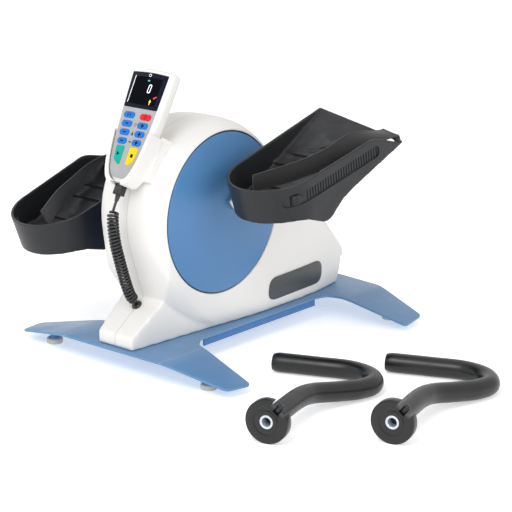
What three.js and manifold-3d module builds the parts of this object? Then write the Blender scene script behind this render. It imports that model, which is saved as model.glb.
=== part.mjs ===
// A motor-assisted trainer for legs and arms: a drum housing on a splayed base plate, two foot
// shells on cranks, a corded handset in its cradle, and a pair of hand grips beside it.
// Millimetres. X is the machine's right, Y is its rear, Z is up. The origin is on the underside
// of the base plate, straight below the crank axis.
import * as THREE from "three";
import { mergeVertices } from "three/addons/utils/BufferGeometryUtils.js";
import { ConvexGeometry } from "three/addons/geometries/ConvexGeometry.js";
import Module from "manifold-3d";

const wasm = await Module();
wasm.setup();

// Fits shared by all pieces
const seatGap = 0.3;
const overrun = 1;
const roundSides = 24;
const drumSides = 40;
const smallSides = 16;
const curveSteps = 3;
const tinySteps = 2;
const cornerShare = 0.45;

// Base plate
const plateThickness = 4;
const plateFrontMargin = 10.1;
const plateRearMargin = 42;
const foldHalfWidth = 115;
const frontReach = 232;
const rearReach = 238;
const frontTipShares = [[0.966, 0.895], [1, 0.642]];
const rearTipShares = [[1, 0.718], [0.958, 0.875]];
const frontRootX = 93;
const frontRootY = 88;
const rearRootX = 82;
const rearRootY = 262;
const rearFoldDrop = 12;
const plateWaist = 74;
const legSlope = 0.196;
const legCornerRadius = 9;
const rootFillet = 28;
const flangeDepth = 11;
const flangeFront = -52;
const flangeRear = 232;

// Levelling feet
const frontFootInset = 62;
const frontFootSetback = 41;
const rearFootInset = 67;
const rearFootSetback = 60;
const padRadius = 13.2;
const padHeight = 10;
const padChamfer = 1.5;
const studRadius = 4;
const studInsertion = 9;
const bossRadius = 8;
const floorClearance = 34;
const padToBoss = 1.5;

// Housing
const axisHeight = 199;
const housingWall = 3.5;
const housingLift = 0.5;
const lipRadius = 135;
const drumCrown = 14.3;
const crownPower = 3.2;
const lipHalfWidth = 70.4;
const lipRim = 3;
const pocketDepth = 12.4;
const hubGap = 2;
const noseFront = 179.9;
const noseHalfWidth = 36.9;
const noseBrow = 24.4;
const noseTopY = 114.9;
const noseTopZ = 71;
const noseTopHalfWidth = 44;
const noseRootHalfWidth = 51;
const tailWallY = 334;
const tailHalfWidth = 48;
const tailUndercut = 52;
const tailLipY = 349;
const tailLipZ = 65;
const tailShoulderY = 308;
const tailShoulderZ = 116;
const tailShoulderHalfWidth = 36;
const tailLipHalfWidth = 40;
const crownSteps = 4;
const tailEdgeRound = 7;
const tailCrown = 3;
const creaseHalfWidth = 55;
const creaseY = 276;
const creaseZ = 115;
const skirtHalfWidth = 59.7;
const skirtShares = [[0.854, -0.003], [0.938, 0.165], [1, 0.338], [0.997, 0.545], [0.938, 0.766],
  [0.829, 0.895], [0.72, 0.991]];
const cheekUpperShares = [[0.952, 0.706, 0.563], [0.852, 0.456, 0.377], [0.817, 0.211, 0.158],
  [0.739, -0.022, 0.023]];
const cheekLowerShares = [[0.639, 0.634, 0.357], [0.696, 0.445, 0.238], [0.71, 0.25, 0.123],
  [0.717, 0.067, 0.05]];

// Crank
const discGap = 2;
const discThickness = 5;
const discHubRadius = 22;
const crankRadius = 70;
const crankAngle = 39.6;
const crankBarWidth = 20;
const crankBarThickness = 8;
const crankBarInner = 14;
const crankBarEnd = 16;
const axleRadius = 10;
const pinRadius = 8;
const pinLength = 80;
const bearingRadius = 21;
const bearingWidth = 12;
const bearingX = 41;

// Drive
const pulleyRadius = 88;
const pulleyWidth = 14;
const pulleyX = -22;
const pulleyWeb = 5;
const pulleyRim = 8;
const motorRadius = 31;
const motorLength = 42;
const motorY = 176;
const motorZ = 62;
const motorPulleyRadius = 17;
const motorShaftRadius = 5;
const beltThickness = 2.4;
const frameThickness = 4;
const frameFront = 42;
const frameRear = 226;
const frameShoulder = 100;
const frameCrown = 12;
const boardY = 262;
const boardWidth = 62;
const boardLength = 48;
const boardThickness = 1.6;
const boardLift = 14;
const postRadius = 3;
const chipHeight = 9;
const canRadius = 5.4;
const inletWidth = 27;
const inletHeight = 20;
const inletDepth = 18;
const inletDrop = 26;
const inletProud = 1.5;
const inletSocketDepth = 10;
const inletWall = 2.5;

// Badge
const badgeY = 195;
const badgeZ = 41;
const badgeLength = 152;
const badgeHeight = 40;
const badgeThickness = 1.6;

// Foot shells, in their own frame: the pin's axis is the origin, x is outward and y is the toe end
const shellOffset = 107.3;
const heelRadius = 74.5;
const heelY = 55.4;
const heelSteps = 18;
const flare = 0.04;
const rimHeight = 61;
const shellFoot = 26;
const shellDraft = 5.2;
const shellWall = 4.5;
const toeInner = 166.2;
const toeOuter = 95;
const toeTip = 161;
const toeReach = 222;
const toeLip = 3.5;
const platePitch = 0.231;
const plateRoll = 0.19;
const creaseShares = [[-1.2, 1.02], [-0.805, 0.86], [-0.134, 0.686], [0.537, 0.686], [1.2, 0.77]];
const soleThickness = 5;
const soleHeel = 12;
const soleArch = 17.5;
const soleBall = 27;
const soleToe = 36;
const soleShares = [-0.355, -0.102, 0.265, 0.69];
const underLow = 24;
const underStationShares = [-0.586, -0.401, -0.315, -0.149, -0.099, -0.005, 0.05, 0.203, 1];
const underShares = [-0.208, -0.021, 0.208, 1.06, 1.02, 0.54, 0.275, -0.088, -1.396];
const rightPitch = 14.3;
const leftPitch = 17.3;
const hubRadius = 13;
const hubLength = 92;
const hubClearance = 3;
const trackFront = 105;
const trackRear = 107;
const trackHeight = 20;
const trackZ = 36.5;
const trackDepth = 1.8;
const ribCount = 28;
const ribPitch = 6.2;
const ribGap = 3.2;
const ribDepth = 1.1;
const ribMargin = 4;
const slotY = 96;
const slotWidth = 2.4;
const sliderLength = 17;
const sliderNeck = 7.7;
const sliderProud = 2.6;
const padRise = 5;
const padLength = 26;
const padShares = [-0.43, -0.2, 0.13, 0.42];

// Straps
const strapWidth = 30;
const strapThickness = 2.6;
const strapRouteShares = [[-0.161, -0.569, 0.885], [0.282, -0.168, 0.836], [0.456, 0.168, 0.811],
  [0.604, 0.54, 0.86]];
const strapLeanShares = [[0.37, 0.29, 0.88], [0, 0, 1], [0, 0, 1], [-0.6, 0.1, 0.79]];
const strapEdgeX = 54.5;
const strapEdgeLean = 0.25;
const strapTail = 11;
const strapSteps = 20;

// Handset, in its own frame: x across, y into its depth, z up its length
const handsetY = 115.4;
const handsetZ = 375.6;
const handsetTilt = 27.3;
const handsetTop = 64.5;
const handsetBottom = 120.5;
const handsetHalfWidth = 42.5;
const handsetDepth = 24.5;
const handsetWall = 3;
const creaseDepth = 9.6;
const faceInset = 3.2;
const backInset = 1.2;
const handsetCrown = 2.2;
const handsetCorner = 5;
const sideShares = [[0.25, -1], [0.5, -0.93], [0.67, -0.79], [0.79, -0.58], [0.89, -0.3], [0.965, 0.13],
  [1, 1]];
const sideRoundings = [0.5, 0.3, 0.3, 0.3, 0.3, 0.3];
const windowHeight = 56.5;
const windowTopHalfWidth = 37.8;
const windowFootHalfWidth = 35;
const windowThickness = 2;
const windowCorner = 2;
const overlayThickness = 0.8;
const overlayProud = 0.3;
const overlayLength = 113.5;
const overlayGap = 0.6;
const overlayRound = 12.6;
const overlayShares = [[0.4, -1], [0.62, -0.9], [0.77, -0.75], [0.87, -0.53], [0.93, -0.32], [1, 0]];
const keyTravel = 0.6;
const keyProud = 0.9;
const keyThickness = 2.4;
const keyLength = 23;
const keyHeight = 10.4;
const keyCorner = 5;
const keyFirstRow = 12.9;
const keyRowPitch = 14;
const keyCentre = 17.2;
const keyTaper = 1.3;
const shieldTop = 63;
const shieldHeight = 28.5;
const shieldWidth = 17;
const shieldInner = 6;
const shieldCorner = 2.5;

// Cradle
const cradleWall = 3;
const cradleFit = 0.5;
const cradleLip = 4;
const cradleTop = 37;
const cradleBack = 2.5;
const notchHalfWidth = 11;
const notchRear = 3;
const bracketInset = 4;
const bracketFoot = 14;
const bracketReach = 70.5;

// Plug and curly cord
const plugWidth = 14;
const plugHeight = 17;
const plugDepthPlace = 13;
const reliefRadius = 4.2;
const reliefTipRadius = 3;
const reliefLength = 10;
const curlRadius = 7.35;
const curlWire = 2.2;
const plugLead = 15;
const glandLead = 5.4;
const curlLeadShare = 0.7;
const curlCount = 29;
const curlSteps = 8;
const curlSides = 5;
const curlRoute = [[0, -179.5, 206], [0, -176, 176], [0, -166.5, 142], [0, -153.5, 103], [0, -144.5, 82]];
const glandRadius = 8.5;
const glandHeight = 5;
const glandTopRadius = 6.8;
const glandShank = 6;
const glandHole = 6.5;
const glandReach = 0.78;

// Hand grips, from the floor up
const gripTubeRadius = 15.5;
const gripLift = 0.2;
const gripRouteShares = [[0.92, -0.562, 0.908], [0.915, -0.45, 0.707], [0.946, -0.277, 0.305],
  [0.975, -0.135, 0.075], [0.977, -0.015, 0], [0.92, 0.075, 0], [0.815, 0.097, 0], [0.674, 0.022, 0],
  [0.504, -0.08, 0]];
const gripSteps = 22;
const gripSides = 12;
const gripHubRadius = 33;
const gripHubThickness = 15;
const gripHubX = 382.7;
const gripHubY = 266.8;
const gripHubTurn = 15;
const gripNeck = 40;
const bushingRadius = 10.5;
const bushingBore = 7;
const gripShiftX = 135;
const gripShiftY = 115;
const lockPinRadius = 5;
const lockPinRise = 1.5;
const lockPinAngle = 50;
const notchWidth = 26;
const notchBite = 13;

// Colours and finishes
const finish = (color, roughness, metalness = 0) =>
  new THREE.MeshStandardMaterial({ color, roughness, metalness });
const blueSheet = finish(0x5587b9, 0.4);
const blueDisc = finish(0x4e80b2, 0.45);
const offWhite = finish(0xe4e2de, 0.45);
const blackShell = finish(0x37373a, 0.5);
const blackSoft = finish(0x2a2a2c, 0.85);
const greyBadge = finish(0x4b4d4e, 0.5);
const padRubber = finish(0x96948e, 0.7);
const steel = finish(0xb9bbbd, 0.3, 1);
const darkGlass = finish(0x0e1218, 0.15);
const keypadGrey = finish(0xa5a6a6, 0.55);
const keyBlue = finish(0x1e78d2, 0.5);
const keyRed = finish(0xdc1e28, 0.5);
const keyGreen = finish(0x00a08c, 0.5);
const keyYellow = finish(0xfad200, 0.5);
const boardGreen = finish(0x1d5b34, 0.6);
const motorGrey = finish(0x5a5d60, 0.4, 0.8);
const beltBlack = finish(0x1c1c1c, 0.8);
const bushingWhite = finish(0xd8dde2, 0.35, 0.4);

// Worked out from the sizes above
const plateFront = noseFront + plateFrontMargin;
const plateRear = tailWallY + plateRearMargin;
const frontFootX = frontReach - frontFootInset;
const frontFootY = frontFootSetback - plateFront;
const rearFootX = rearReach - rearFootInset;
const rearFootY = plateRear - rearFootSetback;
const drumRadius = lipRadius + drumCrown;
const pocketRadius = lipRadius - lipRim;
const pocketFloor = lipHalfWidth - pocketDepth;
const discRadius = pocketRadius - discGap;
const hubHole = discHubRadius + hubGap;
const inletZ = tailUndercut - inletDrop;
const shellCentreX = lipHalfWidth + seatGap + crankBarThickness + shellOffset;

const model = new THREE.Group();
const mirrorX = new THREE.Matrix4().makeScale(-1, 1, 1);

/** A geometry with merged corners and its faces pointing out. */
function closed(geometry) {
  const bare = geometry.clone();
  bare.deleteAttribute("normal");
  bare.deleteAttribute("uv");
  const merged = mergeVertices(bare);
  const place = merged.attributes.position;
  const index = merged.index.array;
  const [a, b, c] = [new THREE.Vector3(), new THREE.Vector3(), new THREE.Vector3()];
  let volume = 0;
  for (let i = 0; i < index.length; i += 3) {
    a.fromBufferAttribute(place, index[i]);
    b.fromBufferAttribute(place, index[i + 1]);
    c.fromBufferAttribute(place, index[i + 2]);
    volume += a.dot(b.cross(c));
  }
  if (volume < 0) {
    for (let i = 0; i < index.length; i += 3) [index[i], index[i + 1]] = [index[i + 1], index[i]];
  }
  return merged;
}

/** A closed geometry as a solid that can be joined and cut. */
function solid(geometry) {
  const { attributes, index } = closed(geometry);
  const vertProperties = new Float32Array(attributes.position.array);
  const triVerts = new Uint32Array(index.array);
  return new wasm.Manifold(new wasm.Mesh({ numProp: 3, vertProperties, triVerts }));
}

/** A solid as a flat-shaded geometry. */
function geometryOf(body) {
  const mesh = body.getMesh();
  const shared = new THREE.BufferGeometry();
  shared.setAttribute("position", new THREE.BufferAttribute(mesh.vertProperties, 3));
  shared.setIndex(new THREE.BufferAttribute(mesh.triVerts, 1));
  const flat = shared.toNonIndexed();
  flat.computeVertexNormals();
  return flat;
}

const joined = (...bodies) => bodies.reduce((all, body) => all.add(body));

/** Adds a named mesh to a group. */
function add(name, shape, material, parent = model) {
  const geometry = shape.isBufferGeometry ? shape : geometryOf(shape);
  const mesh = new THREE.Mesh(geometry, material);
  mesh.name = name;
  parent.add(mesh);
  return mesh;
}

/** A box between two corners. */
function block([x0, y0, z0], [x1, y1, z1]) {
  const box = new THREE.BoxGeometry(x1 - x0, y1 - y0, z1 - z0);
  box.translate((x0 + x1) / 2, (y0 + y1) / 2, (z0 + z1) / 2);
  return solid(box);
}

/** Turns a shape drawn in (u, v) with its depth along w so that w lies along the given axis. */
function stand(geometry, axis) {
  const turn = new THREE.Matrix4();
  if (axis === "x") turn.set(0, 0, 1, 0, 1, 0, 0, 0, 0, 1, 0, 0, 0, 0, 0, 1);
  if (axis === "y") turn.set(1, 0, 0, 0, 0, 0, 1, 0, 0, 1, 0, 0, 0, 0, 0, 1);
  return geometry.applyMatrix4(turn);
}

/** A prism of an outline. Its depth runs along the axis from one place to the other. */
function prism(outline, axis, from, to, curveSegments = curveSteps) {
  const drawn = outline instanceof THREE.Shape;
  const shape = drawn ? outline : new THREE.Shape(outline.map(([u, v]) => new THREE.Vector2(u, v)));
  const geometry = new THREE.ExtrudeGeometry(shape, { depth: to - from, bevelEnabled: false, curveSegments });
  geometry.translate(0, 0, from);
  return solid(stand(geometry, axis));
}

/** A round bar whose axis runs along X, Y or Z through the place (u, v) of the other two. */
function bar(axis, radius, from, to, u = 0, v = 0, sides = roundSides) {
  const profile = [[0, from], [radius, from], [radius, to], [0, to]];
  return turned(profile, axis, u, v, sides);
}

/** A turned body: its profile is [radius, place] pairs along the axis. */
function turned(profile, axis, u = 0, v = 0, sides = roundSides) {
  const points = profile.map(([radius, place]) => new THREE.Vector2(radius, place));
  const geometry = new THREE.LatheGeometry(points, sides);
  geometry.rotateX(Math.PI / 2);
  geometry.translate(u, v, 0);
  return solid(stand(geometry, axis));
}

/** The hull of a list of points. */
function hull(points) {
  return solid(new ConvexGeometry(points.map((p) => new THREE.Vector3(...p))));
}

/** A body between outlines of equal point count, each [outline, height] with the height along Z. */
function loft(sections) {
  const count = sections[0][0].length;
  const places = sections.flatMap(([outline, height]) => outline.flatMap(([x, y]) => [x, y, height]));
  const index = [];
  for (let level = 0; level + 1 < sections.length; level += 1) {
    for (let i = 0; i < count; i += 1) {
      const next = (i + 1) % count;
      const [a, b] = [level * count + i, level * count + next];
      index.push(a, b, b + count, a, b + count, a + count);
    }
  }
  const flat = sections[0][0].map(([x, y]) => new THREE.Vector2(x, y));
  const top = (sections.length - 1) * count;
  for (const [a, b, c] of THREE.ShapeUtils.triangulateShape(flat, [])) {
    index.push(a, c, b, top + a, top + b, top + c);
  }
  const geometry = new THREE.BufferGeometry();
  geometry.setAttribute("position", new THREE.Float32BufferAttribute(places, 3));
  geometry.setIndex(index);
  return solid(geometry);
}

/** A closed body skinned over rings of places, each ring with the same count of corners. */
function skinned(places, corners) {
  const rings = places.length / corners;
  const index = [];
  for (let i = 0; i + 1 < rings; i += 1) {
    for (let j = 0; j < corners; j += 1) {
      const [a, b] = [i * corners + j, i * corners + ((j + 1) % corners)];
      index.push(a, b, b + corners, a, b + corners, a + corners);
    }
  }
  const last = places.length - corners;
  for (let j = 1; j + 1 < corners; j += 1) {
    index.push(0, j + 1, j, last, last + j, last + j + 1);
  }
  const geometry = new THREE.BufferGeometry();
  geometry.setAttribute("position", new THREE.Float32BufferAttribute(places.flat(), 3));
  geometry.setIndex(index);
  return solid(geometry);
}

/** An outline whose corners, [x, y, radius], are rounded. */
function rounded(corners) {
  const shape = new THREE.Shape();
  const count = corners.length;
  corners.forEach(([x, y, radius], i) => {
    const corner = new THREE.Vector2(x, y);
    const toward = (other) => {
      const side = new THREE.Vector2(other[0], other[1]).sub(corner);
      return side.clone().setLength(Math.min(radius, side.length() * cornerShare)).add(corner);
    };
    const start = toward(corners[(i + count - 1) % count]);
    const end = toward(corners[(i + 1) % count]);
    if (i === 0) shape.moveTo(start.x, start.y);
    else shape.lineTo(start.x, start.y);
    if (radius > 0) shape.quadraticCurveTo(x, y, end.x, end.y);
  });
  shape.closePath();
  return shape;
}

/** A round tube along a smooth route. */
function tube(route, radius, steps, sides) {
  const path = new THREE.CatmullRomCurve3(route.map((p) => new THREE.Vector3(...p)), false, "centripetal");
  const circle = new THREE.Shape();
  for (let i = 0; i < sides; i += 1) {
    const angle = (2 * Math.PI * i) / sides;
    const point = [radius * Math.cos(angle), radius * Math.sin(angle)];
    if (i === 0) circle.moveTo(...point);
    else circle.lineTo(...point);
  }
  return solid(new THREE.ExtrudeGeometry(circle, { steps, extrudePath: path, bevelEnabled: false }));
}

const radians = THREE.MathUtils.degToRad;

/** Base plate: one sheet whose four legs slope down past the fold lines, with stiff side flanges. */
function basePlate() {
  const front = frontTipShares.map(([x, y]) => [x * frontReach, -y * plateFront, legCornerRadius]);
  const rear = rearTipShares.map(([x, y]) => [x * rearReach, y * plateRear, legCornerRadius]);
  const half = [
    [foldHalfWidth, -plateFront, legCornerRadius],
    ...front,
    [frontRootX, -frontRootY, rootFillet],
    [plateWaist, rootFillet - frontRootY, 0],
    [plateWaist, rearRootY - rootFillet, 0],
    [rearRootX, rearRootY, rootFillet],
    ...rear,
    [foldHalfWidth, plateRear - rearFoldDrop, legCornerRadius],
  ];
  const other = half.map(([x, y, radius]) => [-x, y, radius]).reverse();
  const outline = rounded([...half, [0, plateRear, 0], ...other]);
  const sheet = prism(outline, "z", 0, plateThickness);
  const reach = frontReach + rearReach;
  const [low, high] = [-overrun, plateThickness + overrun];
  const centre = block([-foldHalfWidth, -reach, low], [foldHalfWidth, reach + plateRear, high]);
  let plate = sheet.intersect(centre);
  for (const side of [1, -1]) {
    const [near, far] = [side * foldHalfWidth, side * reach].sort((a, b) => a - b);
    const leg = sheet.intersect(block([near, -reach, low], [far, reach + plateRear, high]));
    const bend = new THREE.Matrix4().set(
      1, 0, 0, 0, 0, 1, 0, 0, -side * legSlope, 0, 1, legSlope * foldHalfWidth, 0, 0, 0, 1);
    plate = plate.add(solid(geometryOf(leg).applyMatrix4(bend)));
    const flangeX = [side * (plateWaist - plateThickness), side * plateWaist].sort((a, b) => a - b);
    const [flangeLow, flangeHigh] = [-flangeDepth, plateThickness / 2];
    plate = plate.add(block([flangeX[0], flangeFront, flangeLow], [flangeX[1], flangeRear, flangeHigh]));
  }
  for (const [x, y] of footPlaces) {
    const under = -legSlope * (Math.abs(x) - foldHalfWidth);
    const boss = padHeight - floorClearance + padToBoss;
    plate = plate.add(bar("z", bossRadius, boss, under + plateThickness / 2, x, y));
    plate = plate.subtract(bar("z", studRadius + seatGap, boss - overrun, boss + studInsertion, x, y));
  }
  return plate;
}

const footPlaces = [
  [-frontFootX, frontFootY], [frontFootX, frontFootY], [-rearFootX, rearFootY], [rearFootX, rearFootY]];
const footNames = ["front_left", "front_right", "rear_left", "rear_right"];

/** Levelling foot: a rubber pad with its threaded stud, on its own axis, standing on the floor. */
function levellingFoot() {
  const low = -floorClearance;
  const high = low + padHeight;
  const studTop = high + padToBoss + studInsertion - seatGap;
  return turned([[0, low], [padRadius - padChamfer, low], [padRadius, low + padChamfer],
    [padRadius, high - padChamfer], [padRadius - padChamfer, high], [studRadius, high], [studRadius, studTop],
    [0, studTop]], "z", 0, 0, smallSides);
}

add("base_plate", basePlate(), blueSheet);
footPlaces.forEach(([x, y], i) => {
  const foot = add(`levelling_foot_${footNames[i]}`, levellingFoot(), padRubber);
  foot.position.set(x, y, 0);
});

const mirrored = (body) => solid(geometryOf(body).applyMatrix4(mirrorX));

/** The housing's outer form, drawn in by the inset; the inner form runs out through the bottom. */
function housingForm(inset) {
  const bottom = inset > 0 ? 0 : plateThickness + housingLift;
  const crown = (x) => drumRadius - drumCrown * Math.abs(x / lipHalfWidth) ** crownPower - inset;
  const halfWidth = lipHalfWidth - inset;
  const profile = [[0, -halfWidth]];
  for (let i = -crownSteps; i <= crownSteps; i += 1) {
    const x = (halfWidth * i) / crownSteps;
    profile.push([crown(x), x]);
  }
  profile.push([0, halfWidth]);
  const drum = turned(profile, "x", 0, axisHeight, drumSides);

  const ring = [];
  for (let i = 0; i < drumSides; i += 1) {
    const angle = (2 * Math.PI * i) / drumSides;
    for (const x of [0, halfWidth / 2, (halfWidth * 3) / 4, halfWidth]) {
      ring.push([x, crown(x) * Math.cos(angle), axisHeight + crown(x) * Math.sin(angle)]);
    }
  }
  const both = (points) => points.flatMap(([x, y, z]) => [[x, y, z], [-x, y, z]]);
  const tail = hull(both([
    ...ring,
    ...skirtShares.map(([x, y]) =>
      [x * skirtHalfWidth - inset, Math.min(y * tailWallY, tailWallY - inset), bottom]),
    [tailLipHalfWidth, tailLipY - inset, tailLipZ - inset],
    [tailLipHalfWidth, tailLipY - inset, tailUndercut + inset],
    [tailHalfWidth - inset, tailLipY - tailEdgeRound - inset, tailLipZ - tailEdgeRound - inset],
    [tailHalfWidth - inset, tailLipY - tailEdgeRound - inset, tailUndercut + inset],
    [0, tailLipY - inset, tailLipZ + tailCrown - inset],
    [tailShoulderHalfWidth - inset, tailShoulderY - inset, tailShoulderZ - inset],
    [0, tailShoulderY - inset, tailShoulderZ + tailCrown - inset],
    [creaseHalfWidth - inset, creaseY, creaseZ - inset],
  ]));

  const nose = hull(both([
    [noseHalfWidth - inset, -noseFront + inset, bottom],
    [noseHalfWidth - inset, -noseFront + inset, noseBrow - inset / 2],
    [noseTopHalfWidth - inset, -noseTopY, noseTopZ - inset],
    [noseRootHalfWidth - inset, 0, bottom],
    [noseRootHalfWidth - inset, 0, noseTopZ],
  ]));
  const cheekPoint = ([x, y, z]) =>
    [x * lipHalfWidth - inset, -y * noseFront + inset, Math.max(z * axisHeight, bottom)];
  const drumFront = ring.filter(([, y, z]) => y <= 0 && z <= axisHeight);
  const cheek = hull(both([...drumFront, ...cheekUpperShares.map(cheekPoint), ...cheekLowerShares.map(cheekPoint)]));
  return joined(drum, tail, nose, cheek);
}

/** Both half shells: the hollow housing with its disc pockets, axle bores and openings, cut at the seam. */
function housingHalves() {
  const outer = housingForm(0);
  let inner = housingForm(housingWall);
  for (const side of [1, -1]) {
    const deep = side * (pocketFloor - housingWall);
    const shallow = side * (lipHalfWidth + overrun);
    const [from, to] = [deep, shallow].sort((a, b) => a - b);
    inner = inner.subtract(bar("x", pocketRadius + housingWall, from, to, 0, axisHeight, drumSides));
  }
  const under = block([-tailHalfWidth * 2, tailWallY - housingWall, -overrun],
    [tailHalfWidth * 2, tailLipY * 2, tailUndercut + housingWall]);
  let shell = outer.subtract(inner.subtract(under));
  for (const side of [1, -1]) {
    const [from, to] = [side * pocketFloor, side * (lipHalfWidth + overrun)].sort((a, b) => a - b);
    shell = shell.subtract(bar("x", pocketRadius, from, to, 0, axisHeight, drumSides));
  }
  shell = shell.subtract(bar("x", hubHole, -lipHalfWidth, lipHalfWidth, 0, axisHeight));
  const wide = tailHalfWidth * 2;
  shell = shell.subtract(block([-wide, tailWallY, -overrun], [wide, tailLipY * 2, tailUndercut]));
  return [1, -1].map((side) => {
    const [from, to] = [side * seatGap / 2, side * drumRadius].sort((a, b) => a - b);
    return shell.intersect(block([from, -drumRadius * 3, -overrun], [to, drumRadius * 3, drumRadius * 3]));
  });
}

const [housingRight, housingLeft] = housingHalves();
add("housing_right", housingRight, offWhite);
add("housing_left", housingLeft, offWhite);

const sides = [["right", 1], ["left", -1]];

/** The two places, in order, that a distance range takes on one side of the machine. */
const span = (side, from, to) => [side * from, side * to].sort((a, b) => a - b);

/** Badge: a bare pill that follows the housing's side. */
function badge(side) {
  const skin = housingForm(-badgeThickness).subtract(housingForm(-seatGap));
  const [y0, y1] = [badgeY - badgeLength / 2, badgeY + badgeLength / 2];
  const [z0, z1] = [badgeZ - badgeHeight / 2, badgeZ + badgeHeight / 2];
  const round = badgeHeight / 2;
  const pill = rounded([[y0, z0, round], [y1, z0, round], [y1, z1, round], [y0, z1, round]]);
  const [from, to] = span(side, tailHalfWidth / 2, lipHalfWidth + badgeThickness);
  return skin.intersect(prism(pill, "x", from, to));
}

/** Crank disc: a round cover with its hub, on the axle. */
function crankDisc(side) {
  const bore = axleRadius + seatGap;
  const hubEnd = bearingX + bearingWidth / 2 + seatGap;
  const back = lipHalfWidth - discThickness;
  const profile = [[bore, hubEnd], [discHubRadius, hubEnd], [discHubRadius, back], [discRadius, back],
    [discRadius, lipHalfWidth], [bore, lipHalfWidth], [bore, hubEnd]];
  return turned(profile.map(([radius, x]) => [radius, side * x]), "x", 0, 0, drumSides);
}

/** Crank bar: a steel flat with one round end, bored for the pedal pin. Its length lies along y. */
function crankBar(side) {
  const end = crankRadius + crankBarEnd;
  const half = crankBarWidth / 2;
  const outline = rounded([[crankBarInner, -half, half / 2], [end, -half, half], [end, half, half],
    [crankBarInner, half, half / 2]]);
  const [from, to] = span(side, lipHalfWidth + seatGap, lipHalfWidth + seatGap + crankBarThickness);
  const hole = bar("x", pinRadius + seatGap, from - overrun, to + overrun, crankRadius, 0);
  return prism(outline, "x", from, to).subtract(hole);
}

sides.forEach(([name, side]) => {
  add(`badge_${name}`, badge(side), greyBadge);
  const crank = new THREE.Group();
  crank.position.z = axisHeight;
  crank.rotation.x = radians(crankAngle) + (side > 0 ? 0 : Math.PI);
  model.add(crank);
  add(`crank_disc_${name}`, crankDisc(side), blueDisc, crank);
  add(`crank_plate_${name}`, crankBar(side), steel, crank);
  const [from, to] = span(side, lipHalfWidth + seatGap, lipHalfWidth + seatGap + pinLength);
  add(`pedal_pin_${name}`, bar("x", pinRadius, from, to, crankRadius, 0, smallSides), steel, crank);
});

/** Bearing: a closed ring between the inner frame and the axle. */
function bearing(side) {
  const [from, to] = span(side, bearingX - bearingWidth / 2, bearingX + bearingWidth / 2);
  const bore = axleRadius + seatGap;
  const profile = [[bore, from], [bearingRadius, from], [bearingRadius, to], [bore, to], [bore, from]];
  return turned(profile, "x", 0, axisHeight);
}

/** Inner frame: a foot sheet on the base plate and two cheeks that hold the bearings. */
function innerFrame() {
  const foot = plateThickness + seatGap;
  const crown = axisHeight + bearingRadius + frameCrown;
  const half = bearingX;
  const outline = [[-frameFront, foot], [frameRear, foot], [frameRear, foot + frameShoulder],
    [bearingRadius + frameCrown, crown], [-bearingRadius - frameCrown, crown],
    [-frameFront, axisHeight - bearingRadius]];
  let frame = block([-half, -frameFront, foot], [half, frameRear, foot + frameThickness]);
  for (const side of [1, -1]) {
    const [from, to] = span(side, half - frameThickness, half);
    const seat = bar("x", bearingRadius + seatGap, from - overrun, to + overrun, 0, axisHeight);
    const window = bar("x", motorRadius + frameThickness, from - overrun, to + overrun, motorY, motorZ);
    frame = frame.add(prism(outline, "x", from, to).subtract(seat));
    if (side < 0) frame = frame.subtract(window);
  }
  return frame;
}

/** Drive pulley: a wide rim on a thin web, fixed on the axle. */
function drivePulley() {
  const bore = axleRadius + seatGap;
  const hub = axleRadius * 2;
  const rim = pulleyRadius - pulleyRim;
  const [h, w] = [pulleyWidth / 2, pulleyWeb / 2];
  const profile = [[bore, -h], [hub, -h], [hub, -w], [rim, -w], [rim, -h], [pulleyRadius, -h],
    [pulleyRadius, h], [rim, h], [rim, w], [hub, w], [hub, h], [bore, h], [bore, -h]];
  return turned(profile.map(([radius, x]) => [radius, x + pulleyX]), "x", 0, axisHeight);
}

/** The two pulleys wrapped by a tight band whose flats stay the given distance off them as they turn. */
function wrapped(grow, halfWidth) {
  const points = [];
  for (const [radius, y, z] of [[pulleyRadius, 0, axisHeight], [motorPulleyRadius, motorY, motorZ]]) {
    const corner = (radius + grow) / Math.cos(Math.PI / roundSides);
    for (let i = 0; i < roundSides; i += 1) {
      const angle = (2 * Math.PI * (i + 1 / 2)) / roundSides;
      for (const x of [pulleyX - halfWidth, pulleyX + halfWidth]) {
        points.push([x, y + corner * Math.cos(angle), z + corner * Math.sin(angle)]);
      }
    }
  }
  return hull(points);
}

function driveBelt() {
  const half = pulleyWidth / 2 - seatGap;
  return wrapped(seatGap + beltThickness, half).subtract(wrapped(seatGap, half + overrun));
}

/** Motor: a round body between the frame's cheeks, with its shaft toward the belt. */
function motor() {
  const right = bearingX - frameThickness - seatGap;
  const left = right - motorLength;
  const body = bar("x", motorRadius, left, right, motorY, motorZ);
  const boss = bar("x", motorShaftRadius * 2, left - frameThickness, left + overrun, motorY, motorZ);
  const shaft = bar("x", motorShaftRadius, pulleyX - pulleyWidth / 2, left, motorY, motorZ);
  const saddle = block([left, motorY - motorRadius / 2, plateThickness + frameThickness + seatGap * 2],
    [right, motorY + motorRadius / 2, motorZ]);
  return joined(body, boss, shaft, saddle);
}

function motorPulley() {
  const bore = motorShaftRadius + seatGap;
  const [from, to] = [pulleyX - pulleyWidth / 2, pulleyX + pulleyWidth / 2];
  return turned([[bore, from], [motorPulleyRadius, from], [motorPulleyRadius, to], [bore, to], [bore, from]],
    "x", motorY, motorZ);
}

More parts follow.
